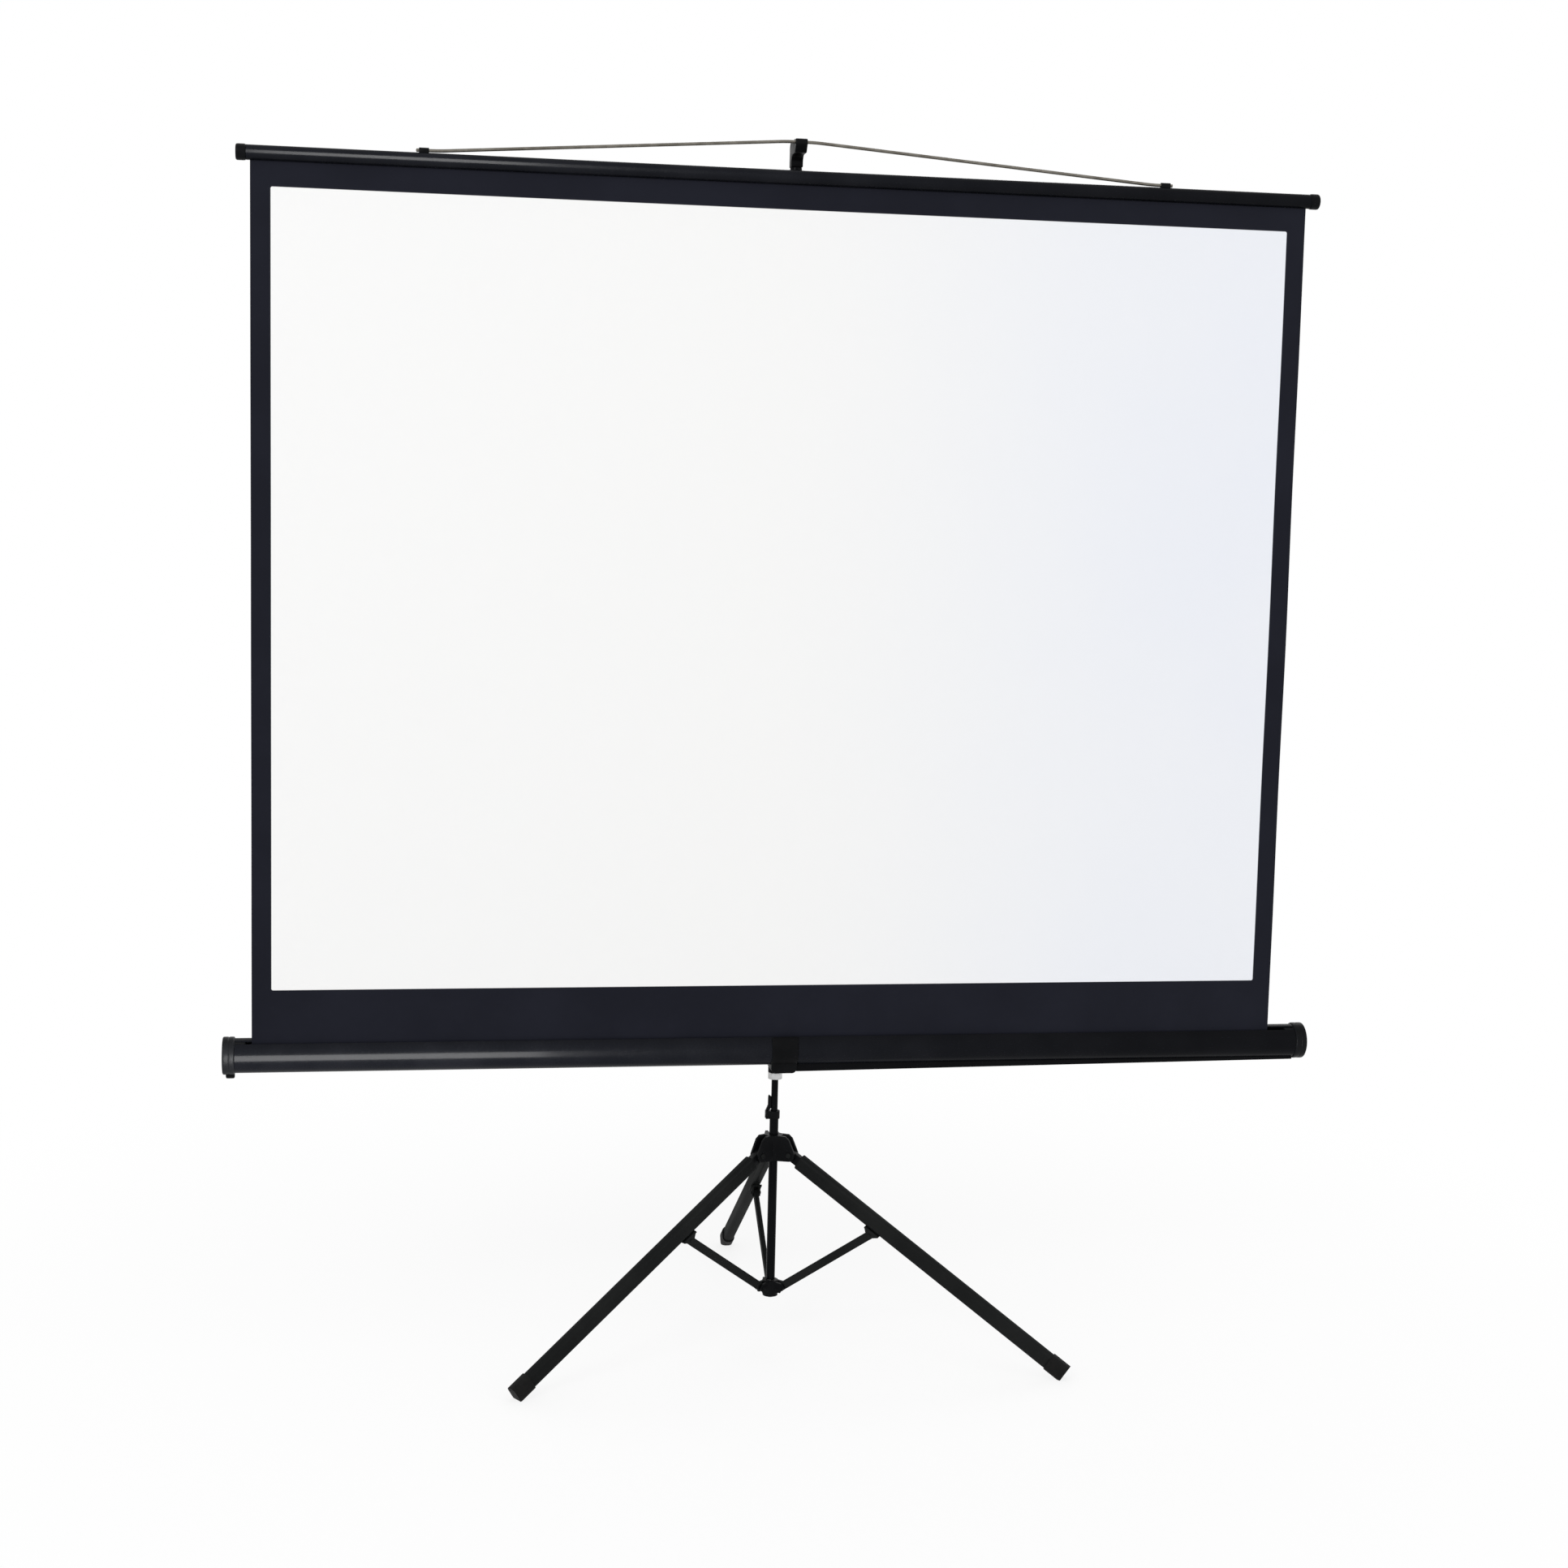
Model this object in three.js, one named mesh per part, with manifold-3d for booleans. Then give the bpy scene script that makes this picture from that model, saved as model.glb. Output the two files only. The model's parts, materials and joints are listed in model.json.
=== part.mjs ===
// A portable projection screen on a folding tripod: a spring roller in a round case, a fabric drawn up out of it,
// and a telescopic mast whose hook carries the wire bail of the top slat.
// Millimetres, +Z up, the picture faces -Y and +X is to the viewer's right.
import * as THREE from 'three';
import { mergeVertices } from 'three/addons/utils/BufferGeometryUtils.js';
import Module from 'manifold-3d';

const wasm = await Module();
wasm.setup();

// Picture and fabric
const pictureWidth = 1700;
const pictureHeight = 1300;
const sideBorder = 32;
const topBorder = 40;
const bottomDrop = 83;
const fabricThickness = 0.8;
const screenOffset = -11;

// Case, measured about its own axis
const caseRadius = 29;
const caseWall = 1.4;
const caseSideRoom = 38.5;
const caseForward = 68;
const slotWidth = 8;
const caseCapRadius = 31.5;
const caseCapLength = 20;
const caseCapPlug = 18;
const capFootRadius = 8.5;
const capFootDrop = 30;
const gudgeonSocketDepth = 12;

// Saddle that hangs the case on the carriage, and the stay under the right half of the case
const saddleWidth = 44;
const saddleShell = 3.2;
const saddleSole = 11.5;
const saddleCorner = 8;
const saddleHalfHeight = 24;
const saddleBack = 5.7;
const saddleMouth = 18;
const stayDepthInner = 10.5;
const stayDepthOuter = 2.5;
const stayWidth = 26;
const stayEndGap = 1;

// Roller inside the case
const rollerRadius = 12.5;
const rollerWall = 1.2;
const rollerEndRoom = 3;
const wrapThickness = 0.5;
const gudgeonRadius = 4;
const rollerPlugLength = 30;
const arborReach = 320;
const springWire = 1.2;
const springTurns = 18;
const springLength = 270;
const springStepsPerTurn = 8;
const springSides = 4;

// Top slat and wire bail
const slatRadius = 12;
const slatWall = 1.6;
const slatSlit = 2.6;
const slatOverhang = 6;
const slatCapRadius = 13;
const slatCapLength = 16;
const slatCapPlug = 15;
const splineRadius = 5;
const bailWire = 2.75;
const bailHalfSpan = 620;
const bailEnd = 4;
const bailRise = 48;
const bailBend = 30;
const bendSteps = 4;
const clipLength = 16;
const clipHalfWidth = 4.5;
const clipLift = 3.5;

// Mast, its sliding extension and the hook
const mastRadius = 12.5;
const mastWall = 2.2;
const mastLength = 935;
const ferruleLip = 12;
const ferruleSpigot = 35;
const ferruleToCase = 71;
const stemRadius = 5.85;
const stemWall = 1.3;
const stemRoom = 10;
const extensionWall = 1.5;
const extensionLength = 985;
const collarWall = 3.7;
const collarSkirt = 22;
const collarHead = 16;
const hookWidth = 20;
const hookPlug = 40;
const hookNeck = 7;
const hookArmDepth = 14;
const hookReach = 44;
const hookLip = 9;
const hookRound = 12;

// Carriage that slides on the mast, with its clamp knob
const carriageHeight = 70;
const carriageWall = 5.2;
const carriageBossRadius = 15;
const swivelBoltRadius = 4;
const swivelHeadRadius = 7;
const swivelHeadThickness = 2.5;
const swivelThread = 10;
const washerThickness = 2;
const washerRadius = 13;
const knobRadius = 12.5;
const knobLobe = 1;
const knobLobes = 8;
const knobLength = 16;
const knobScrewRadius = 3;
const knobStand = 1.5;

// Lower post, the latch at its top and the rod that slides out of its foot
const postRadius = 7.75;
const stemShowing = 57;
const postAboveHub = 75.4;
const latchCollarHeight = 14;
const latchCollarWall = 1.8;
const latchEarThickness = 2.5;
const latchLeverWidth = 6;
const latchLeverHeight = 28;
const latchLeverThickness = 5;
const latchPinRadius = 1.5;
const latchKnuckle = 2.5;
const latchPinDrop = 7;

// Tripod: spread is measured from straight down to an open leg
const legSpread = 57.4;
const legLength = 600;
const legWidth = 20;
const legHeight = 28;
const legCorner = 8;
const legWall = 1.5;
const legTubeStart = 20;
const legHeadPlug = 30;
const legTongue = 12;
const legTongueRadius = 9;
const footLength = 34;
const footWall = 1.5;
const footSole = 5;
const footFlat = 4;
const hubPivotRadius = 32;
const hubCheek = 4.7;
const hubCheekRadius = 11;
const hubSleeveWall = 6.5;
const hubAbovePivot = 33;
const hubShoulderDrop = 6;
const hubShoulderIn = 7;
const hubBelowPivot = 12;
const hubSlotStart = 16;
const legPinRadius = 3;
const legPinHeadRadius = 5;
const legPinHead = 2.2;
const bracketAlongLeg = 195;
const bracketLength = 30;
const bracketBase = 3;
const bracketEar = 3.5;
const bracketWidth = 20;
const bracePinRadius = 2;
const braceHalfDepth = 7;
const braceThickness = 8;
const braceTrunnion = 0.2;
const hubToSpider = 240.3;
const spiderPivotRadius = 22;
const spiderHeight = 20;
const spiderTail = 8;
const spiderLug = 5;
const spiderLugReach = 7;
const spiderFloor = 5;
const spiderBossRadius = 13.5;
const rodLength = 210;
const postFootRoom = 1;
const spiderSlotClear = 1.5;
const boltShank = 3;
const boltHead = 6;
const boltHeadHeight = 3.6;
const boltLength = 16;
const rivetRadius = 3.4;
const rivetHeight = 1.2;

// Fits and facets
const gap = 0.3;
const runningGap = 0.4;
const roundSides = 20;
const caseSides = 24;
const pinSides = 12;
const cornerSteps = 3;
const wireSides = 8;

// Heights and lengths that follow from the sizes above
const degree = Math.PI / 180;
const openAngle = legSpread * degree;
const footHalfHeight = legHeight / 2 + gap + footWall;
const hubPivotHeight =
  legLength * Math.cos(openAngle) + footHalfHeight * Math.sin(openAngle) - footFlat;
const spiderPivotHeight = hubPivotHeight - hubToSpider;
const spiderBottom = spiderPivotHeight - spiderHeight / 2 - spiderTail;
const spiderTop = spiderPivotHeight + spiderHeight / 2;
const rodBottom = spiderBottom + spiderFloor + gap;
const rodTop = rodBottom + rodLength;
const postBottom = spiderTop + postFootRoom;
const postTop = hubPivotHeight + postAboveHub;
const postLength = postTop - postBottom;
const mastBottom = postTop + stemShowing;
const caseHeight = mastBottom + ferruleToCase;
const fabricWidth = pictureWidth + 2 * sideBorder;
const rollRadius = rollerRadius + gap + wrapThickness + gap + fabricThickness / 2;
const fabricForward = caseForward + rollRadius;
const slatHeight =
  caseHeight + caseRadius + bottomDrop + pictureHeight + topBorder + slatRadius;
const caseTubeLength = fabricWidth + 2 * caseSideRoom;
const slatTubeLength = fabricWidth + 2 * slatOverhang;
const slatInner = slatRadius - slatWall;
const rollerLength = fabricWidth + 2 * rollerEndRoom;
const rollerLeft = screenOffset - rollerLength / 2;
const rollerRight = screenOffset + rollerLength / 2;
const rollerBore = rollerRadius - rollerWall;
const capSeat = caseTubeLength / 2 + gap;
const capInnerFace = capSeat - caseCapPlug;
const socketEnd = capInnerFace + gudgeonSocketDepth - gap;
const mastTubeBottom = mastBottom + ferruleLip + gap;
const mastTop = mastTubeBottom + mastLength;
const mastBore = mastRadius - mastWall;
const extensionRadius = mastBore - gap;
const bailLift = slatRadius + clipLift;
const bailPivotHeight = slatHeight + bailLift;
const bailApexHeight = bailPivotHeight + bailRise;
const hookNotchHeight = bailApexHeight - bailWire - runningGap;
const hookTop = hookNotchHeight + hookLip;
const extensionTop = hookNotchHeight - hookArmDepth - hookRound - hookNeck;
const carriageFront = caseForward - caseRadius - gap - saddleBack - 2 * gap - washerThickness;
const latchInner = stemRadius + gap;
const latchCollarRadius = postRadius + gap + latchCollarWall;
const latchPinOut = latchCollarRadius + 2 * runningGap + latchKnuckle;

// Colours of the finishes
const finishes = {
  blackEnamel: { color: 0x131417, roughness: 0.32, metalness: 0.2 },
  legEnamel: { color: 0x17191a, roughness: 0.42, metalness: 0.2 },
  blackPlastic: { color: 0x101112, roughness: 0.5, metalness: 0 },
  rubber: { color: 0x161616, roughness: 0.85, metalness: 0 },
  zinc: { color: 0xa9abac, roughness: 0.35, metalness: 0.9 },
  wire: { color: 0x99958a, roughness: 0.35, metalness: 0.9 },
  rollerSteel: { color: 0x8e9092, roughness: 0.4, metalness: 0.8 },
  whiteFabric: { color: 0xf4f6fb, roughness: 0.85, metalness: 0 },
  blackFabric: { color: 0x1c1e26, roughness: 0.9, metalness: 0 },
};

// Merges shared corners, drops empty facets and turns the facets outwards.
function closed(geometry) {
  const bare = geometry.clone();
  bare.deleteAttribute('normal');
  bare.deleteAttribute('uv');
  const merged = mergeVertices(bare);
  const position = merged.getAttribute('position');
  const corners = merged.getIndex().array;
  const a = new THREE.Vector3();
  const b = new THREE.Vector3();
  const c = new THREE.Vector3();
  const facets = [];
  let volume = 0;
  for (let i = 0; i < corners.length; i += 3) {
    const [p, q, r] = [corners[i], corners[i + 1], corners[i + 2]];
    if (p === q || q === r || r === p) {
      continue;
    }
    a.fromBufferAttribute(position, p);
    b.fromBufferAttribute(position, q);
    c.fromBufferAttribute(position, r);
    volume += a.dot(b.cross(c));
    facets.push([p, q, r]);
  }
  const outward = volume < 0 ? facets.map(([p, q, r]) => [p, r, q]) : facets;
  merged.setIndex(outward.flat());
  return merged;
}

function solidOf(geometry) {
  const shell = closed(geometry);
  const vertProperties = Float32Array.from(shell.getAttribute('position').array);
  const triVerts = Uint32Array.from(shell.getIndex().array);
  return new wasm.Manifold(new wasm.Mesh({ numProp: 3, vertProperties, triVerts }));
}

function geometryOf(solid) {
  const mesh = solid.getMesh();
  const geometry = new THREE.BufferGeometry();
  geometry.setAttribute('position', new THREE.BufferAttribute(Float32Array.from(mesh.vertProperties), 3));
  geometry.setIndex(new THREE.BufferAttribute(Uint32Array.from(mesh.triVerts), 1));
  return geometry;
}

function joined(...pieces) {
  return geometryOf(pieces.map(solidOf).reduce((whole, piece) => whole.add(piece)));
}

function cut(base, ...tools) {
  return geometryOf(tools.map(solidOf).reduce((whole, tool) => whole.subtract(tool), solidOf(base)));
}

function common(first, second) {
  return geometryOf(solidOf(first).intersect(solidOf(second)));
}

// A body of revolution about +Z from [radius, height] points.
function turned(profile, sides = roundSides) {
  const points = profile.map(([radius, height]) => new THREE.Vector2(radius, height));
  return closed(new THREE.LatheGeometry(points, sides).rotateX(Math.PI / 2));
}

function rod(radius, length, sides = roundSides) {
  return turned([[0, 0], [radius, 0], [radius, length], [0, length]], sides);
}

function pipe(outer, inner, length, sides = roundSides) {
  return turned([[inner, 0], [outer, 0], [outer, length], [inner, length], [inner, 0]], sides);
}

// Lays a body that stands along +Z down along +X or +Y, from the same origin.
function layX(geometry) {
  return geometry.applyMatrix4(new THREE.Matrix4().makeBasis(
    new THREE.Vector3(0, 1, 0), new THREE.Vector3(0, 0, 1), new THREE.Vector3(1, 0, 0)));
}

function layY(geometry) {
  return geometry.applyMatrix4(new THREE.Matrix4().makeBasis(
    new THREE.Vector3(0, 0, 1), new THREE.Vector3(1, 0, 0), new THREE.Vector3(0, 1, 0)));
}

// An outline in the YZ plane carried along +X.
function alongX(shape, length, steps = cornerSteps) {
  const prism = new THREE.ExtrudeGeometry(shape, { depth: length, bevelEnabled: false, curveSegments: steps });
  return closed(layX(prism));
}

// An outline in the XZ plane, carried across Y and centred on it.
function acrossY(shape, width, steps = cornerSteps) {
  const prism = new THREE.ExtrudeGeometry(shape, { depth: width, bevelEnabled: false, curveSegments: steps });
  prism.translate(0, 0, -width / 2);
  return closed(prism.rotateX(Math.PI / 2));
}

function block(width, depth, height) {
  return closed(new THREE.BoxGeometry(width, depth, height));
}

function roundedBox(width, height, corner) {
  const [x, y] = [width / 2 - corner, height / 2 - corner];
  const shape = new THREE.Shape();
  shape.absarc(x, y, corner, 0, 90 * degree, false);
  shape.absarc(-x, y, corner, 90 * degree, 180 * degree, false);
  shape.absarc(-x, -y, corner, 180 * degree, 270 * degree, false);
  shape.absarc(x, -y, corner, 270 * degree, 360 * degree, false);
  shape.closePath();
  return shape;
}

function piece(name, finish, geometry) {
  const mesh = new THREE.Mesh(closed(geometry), new THREE.MeshStandardMaterial(finishes[finish]));
  mesh.name = name;
  return mesh;
}

function at(mesh, x, y, z) {
  mesh.position.set(x, y, z);
  return mesh;
}

// Tripod pieces. Each leg lies in its own upright plane, with local +X outwards from the post.
const legAngles = { front_left: -150, front_right: -30, rear: 90 };

function radial(angle, ...children) {
  const group = new THREE.Group();
  group.rotation.z = angle * degree;
  group.add(...children);
  return group;
}

// A frame at the hub's pivot with +X down the leg and -Z on its underside.
function legFrame() {
  const frame = new THREE.Group();
  frame.position.set(hubPivotRadius, 0, hubPivotHeight);
  frame.rotation.y = 90 * degree - openAngle;
  frame.updateMatrix();
  return frame;
}

function legTube() {
  const outline = roundedBox(legWidth, legHeight, legCorner);
  outline.holes.push(roundedBox(legWidth - 2 * legWall, legHeight - 2 * legWall, legCorner - legWall));
  return alongX(outline, legLength - footSole - gap - legTubeStart).translate(legTubeStart, 0, 0);
}

function legHead() {
  const play = 2 * (legWall + gap);
  const plugCorner = legCorner - legWall - gap;
  const plug = alongX(roundedBox(legWidth - play, legHeight - play, plugCorner), legHeadPlug);
  const tongue = new THREE.Shape();
  tongue.absarc(0, 0, legTongueRadius, 90 * degree, 270 * degree, false);
  tongue.lineTo(legTubeStart + legHeadPlug / 2, -legTongueRadius);
  tongue.lineTo(legTubeStart + legHeadPlug / 2, legTongueRadius);
  const bore = layY(rod(legPinRadius + gap, legTongue * 2, pinSides)).translate(0, -legTongue, 0);
  return cut(joined(acrossY(tongue, legTongue, 8), plug.translate(legTubeStart, 0, 0)), bore);
}

function footBoot(frame) {
  const boot = alongX(roundedBox(legWidth + 2 * (gap + footWall), 2 * footHalfHeight, legCorner + footWall), footLength);
  const pocket = alongX(roundedBox(legWidth + 2 * gap, legHeight + 2 * gap, legCorner + gap), footLength);
  boot.translate(legLength - footLength, 0, 0);
  pocket.translate(legLength - footLength - footSole, 0, 0);
  const floor = block(legLength, legLength, legLength).translate(legLength, 0, -legLength / 2);
  floor.applyMatrix4(frame.matrix.clone().invert());
  return cut(boot, pocket, floor);
}

const bracketTop = -legHeight / 2 - gap;
const bracketFace = bracketTop - bracketBase;
const bracketPivot = bracketFace - braceHalfDepth - gap;

function legBracket() {
  const ears = new THREE.Shape();
  ears.moveTo(-bracketLength / 2, bracketTop);
  ears.lineTo(-bracketLength / 2, bracketFace);
  ears.absarc(0, bracketPivot, braceHalfDepth, 180 * degree, 360 * degree, false);
  ears.lineTo(bracketLength / 2, bracketFace);
  ears.lineTo(bracketLength / 2, bracketTop);
  const slot = braceThickness + 2 * gap;
  const bar = acrossY(ears, slot + 2 * bracketEar, 8);
  const base = block(bracketLength, bracketWidth, bracketBase).translate(0, 0, (bracketTop + bracketFace) / 2);
  const room = block(bracketLength * 2, slot, legHeight).translate(0, 0, bracketFace - legHeight / 2);
  const bore = layY(rod(bracePinRadius + gap, bracketWidth * 2, pinSides)).translate(0, -bracketWidth, bracketPivot);
  return cut(joined(bar, base), room, bore);
}

function headedPin(radius, length, headRadius, headHeight) {
  const half = length / 2;
  const end = half + headHeight;
  return layY(turned([
    [0, -end], [headRadius * 0.7, -end], [headRadius, -half - headHeight * 0.4], [headRadius, -half],
    [radius, -half], [radius, half],
    [headRadius, half], [headRadius, half + headHeight * 0.4], [headRadius * 0.7, end], [0, end],
  ], pinSides));
}

function bracePivots(frame) {
  const outer = new THREE.Vector3(bracketAlongLeg, 0, bracketPivot).applyMatrix4(frame.matrix);
  const inner = new THREE.Vector3(spiderPivotRadius, 0, spiderPivotHeight);
  return { outer, inner };
}

// The brace's inner end carries its pivot as two low trunnions.
function brace(length) {
  const bar = new THREE.Shape();
  bar.absarc(0, 0, braceHalfDepth, 90 * degree, 270 * degree, false);
  bar.absarc(length, 0, braceHalfDepth, -90 * degree, 90 * degree, false);
  const width = braceThickness + 2 * braceTrunnion;
  const trunnions = layY(rod(braceHalfDepth * 0.6, width, pinSides)).translate(length, -width / 2, 0);
  const bore = layY(rod(bracePinRadius + gap, braceThickness * 2, pinSides)).translate(0, -braceThickness, 0);
  return cut(joined(acrossY(bar, braceThickness, 8), trunnions), bore);
}

function tripodLeg(name, angle) {
  const frame = legFrame();
  const earSpan = braceThickness + 2 * gap + 2 * bracketEar + 2 * gap;
  frame.add(
    piece(`leg_${name}`, 'legEnamel', legTube()),
    piece(`leg_head_${name}`, 'blackPlastic', legHead()),
    piece(`foot_${name}`, 'rubber', footBoot(frame)),
    at(piece(`leg_bracket_${name}`, 'legEnamel', legBracket()), bracketAlongLeg, 0, 0),
    at(piece(`bracket_pin_${name}`, 'legEnamel', headedPin(bracePinRadius, earSpan, 3.2, 1.4)),
      bracketAlongLeg, 0, bracketPivot),
  );
  const { outer, inner } = bracePivots(frame);
  const strut = piece(`brace_${name}`, 'legEnamel', brace(outer.distanceTo(inner)));
  strut.position.copy(outer);
  strut.rotation.y = Math.atan2(-(inner.z - outer.z), inner.x - outer.x);
  const span = legTongue + 2 * gap + 2 * hubCheek + 2 * gap;
  const pin = piece(`leg_pin_${name}`, 'legEnamel', headedPin(legPinRadius, span, legPinHeadRadius, legPinHead));
  return radial(angle, frame, strut, at(pin, hubPivotRadius, 0, hubPivotHeight));
}

function turnedAbout(angle, geometry) {
  return geometry.rotateZ(angle * degree);
}

// A sleeve on the post with a forked arm for each leg.
function hub() {
  const slot = legTongue + 2 * gap;
  const sleeveRadius = postRadius + gap + hubSleeveWall;
  const arm = new THREE.Shape();
  arm.moveTo(0, -hubBelowPivot);
  arm.lineTo(sleeveRadius, -hubBelowPivot);
  arm.lineTo(hubPivotRadius, -hubCheekRadius);
  arm.absarc(hubPivotRadius, 0, hubCheekRadius, -90 * degree, 20 * degree, false);
  arm.lineTo(hubPivotRadius, hubAbovePivot - hubShoulderDrop);
  arm.lineTo(hubPivotRadius - hubShoulderIn, hubAbovePivot);
  arm.lineTo(0, hubAbovePivot);
  const reach = hubPivotRadius + hubCheekRadius;
  const pieces = [rod(sleeveRadius, hubBelowPivot + hubAbovePivot).translate(0, 0, -hubBelowPivot)];
  const tools = [rod(postRadius + gap, legLength).translate(0, 0, -legLength / 2)];
  for (const angle of Object.values(legAngles)) {
    const cheeks = acrossY(arm, slot + 2 * hubCheek, 6);
    const room = block(reach, slot, legLength).translate(hubSlotStart + reach / 2, 0, 0);
    const bore = layY(rod(legPinRadius + gap, reach * 2, pinSides)).translate(hubPivotRadius, -reach, 0);
    pieces.push(turnedAbout(angle, cheeks));
    tools.push(turnedAbout(angle, room), turnedAbout(angle, bore));
  }
  return cut(joined(...pieces), ...tools);
}

// The casting at the foot of the post, with a slotted lug for each brace.
function spider() {
  const slot = braceThickness + 2 * gap;
  const slotStart = spiderPivotRadius - braceHalfDepth - spiderSlotClear;
  const reach = spiderPivotRadius + spiderLugReach;
  const lugWidth = slot + 2 * spiderLug;
  const pieces = [rod(spiderBossRadius, spiderTop - spiderBottom).translate(0, 0, spiderBottom)];
  const rodRoom = rod(stemRadius + gap, spiderTop).translate(0, 0, spiderBottom + spiderFloor);
  const tools = [rodRoom, rod(boltShank + gap, spiderTop, pinSides)];
  for (const angle of Object.values(legAngles)) {
    const lug = new THREE.Shape();
    lug.moveTo(0, -spiderHeight / 2);
    lug.lineTo(spiderPivotRadius, -spiderHeight / 2);
    lug.absarc(spiderPivotRadius, 0, spiderLugReach, -90 * degree, 90 * degree, false);
    lug.lineTo(0, spiderHeight / 2);
    const rivetSpan = lugWidth + 2 * rivetHeight;
    const rivets = layY(rod(rivetRadius, rivetSpan, pinSides)).translate(spiderPivotRadius, -rivetSpan / 2, 0);
    const fork = joined(acrossY(lug, lugWidth, 6), rivets).translate(0, 0, spiderPivotHeight);
    const room = block(reach, slot, spiderTop * 2).translate(slotStart + reach / 2, 0, spiderTop);
    pieces.push(turnedAbout(angle, fork));
    tools.push(turnedAbout(angle, room));
  }
  return cut(joined(...pieces), ...tools);
}

function spiderBolt() {
  const under = spiderBottom - gap;
  return turned([
    [0, under - boltHeadHeight], [boltHead * 0.75, under - boltHeadHeight], [boltHead, under - boltHeadHeight * 0.4],
    [boltHead, under], [boltShank, under], [boltShank, under + boltLength], [0, under + boltLength],
  ], pinSides);
}

// Latch: a collar on the post with two ears, and a lever that grips the stem.
function latchCollar() {
  const earSpan = latchLeverWidth + 2 * gap + 2 * latchEarThickness;
  const earLength = latchPinOut + latchKnuckle;
  const ears = block(earLength, earSpan, latchCollarHeight).translate(-earLength / 2, 0, latchCollarHeight / 2);
  const room = block(earLength, latchLeverWidth + 2 * gap, latchCollarHeight * 3)
    .translate(-latchCollarRadius - gap - earLength / 2, 0, 0);
  const bore = rod(postRadius + gap, latchCollarHeight * 3).translate(0, 0, -latchCollarHeight);
  const pinBore = layY(rod(latchPinRadius + gap, earSpan * 2, pinSides))
    .translate(-latchPinOut, -earSpan, latchCollarHeight - latchPinDrop);
  return cut(joined(rod(latchCollarRadius, latchCollarHeight), ears), room, bore, pinBore).translate(0, 0, postTop - latchCollarHeight);
}

function latchLever() {
  const back = latchInner + latchLeverThickness;
  const lever = new THREE.Shape();
  lever.moveTo(latchKnuckle - latchPinOut, latchPinDrop + gap);
  lever.lineTo(-latchInner, latchPinDrop + latchLeverThickness);
  lever.lineTo(-latchInner, latchLeverHeight + latchPinDrop - latchLeverThickness / 2);
  lever.lineTo(-back + latchLeverThickness / 3, latchLeverHeight + latchPinDrop);
  lever.lineTo(-back, latchLeverHeight + latchPinDrop - latchLeverThickness / 2);
  lever.lineTo(-back - gap, latchPinDrop + 2 * latchLeverThickness);
  lever.lineTo(-latchPinOut - latchKnuckle, latchPinDrop - gap);
  lever.absarc(-latchPinOut, 0, latchKnuckle, 180 * degree, 360 * degree, false);
  const bore = layY(rod(latchPinRadius + gap, latchLeverWidth * 2, pinSides)).translate(-latchPinOut, -latchLeverWidth, 0);
  return cut(acrossY(lever, latchLeverWidth), bore).translate(0, 0, postTop - latchPinDrop);
}

function latchPin() {
  const span = latchLeverWidth + 2 * gap + 2 * latchEarThickness;
  const pin = layY(rod(latchPinRadius, span, pinSides));
  return pin.translate(-latchPinOut, -span / 2, postTop - latchPinDrop);
}

// Mast pieces
function ferrule() {
  const bore = stemRadius + gap;
  const spigot = mastBore - gap;
  const shoulder = ferruleLip + ferruleSpigot;
  return turned([
    [bore, 0], [mastRadius - 1, 0], [mastRadius, 1], [mastRadius, ferruleLip], [spigot, ferruleLip],
    [spigot, shoulder], [bore, shoulder], [bore, 0],
  ]).translate(0, 0, mastBottom);
}

function mastCollar() {
  const bore = mastRadius + gap;
  const throat = extensionRadius + gap;
  const outer = bore + collarWall;
  const ring = turned([
    [bore, -collarSkirt], [outer, -collarSkirt], [outer, collarHead - 2], [outer - 2, collarHead],
    [throat, collarHead], [throat, gap], [bore, gap], [bore, -collarSkirt],
  ]);
  const hole = layY(rod(knobScrewRadius + gap, outer * 2, pinSides)).translate(0, 0, collarHead / 2);
  return cut(ring, hole).translate(0, 0, mastTop);
}

// A lobed thumb knob on +Y whose screw points back to the tube at `inner`.
function clampKnob(inner, outer) {
  const rim = new THREE.Shape();
  const steps = knobLobes * 4;
  for (let i = 0; i < steps; i += 1) {
    const turn = (i / steps) * 2 * Math.PI;
    const radius = knobRadius + knobLobe * Math.cos(knobLobes * turn);
    const point = [radius * Math.cos(turn), radius * Math.sin(turn)];
    if (i === 0) {
      rim.moveTo(...point);
    } else {
      rim.lineTo(...point);
    }
  }
  const grip = new THREE.ExtrudeGeometry(rim, { depth: knobLength, bevelEnabled: false });
  const start = outer + knobStand;
  const screw = layY(rod(knobScrewRadius, start - inner - gap + knobLength / 2, pinSides));
  return joined(layY(closed(grip)).translate(0, start, 0), screw.translate(0, inner + gap, 0));
}

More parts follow.
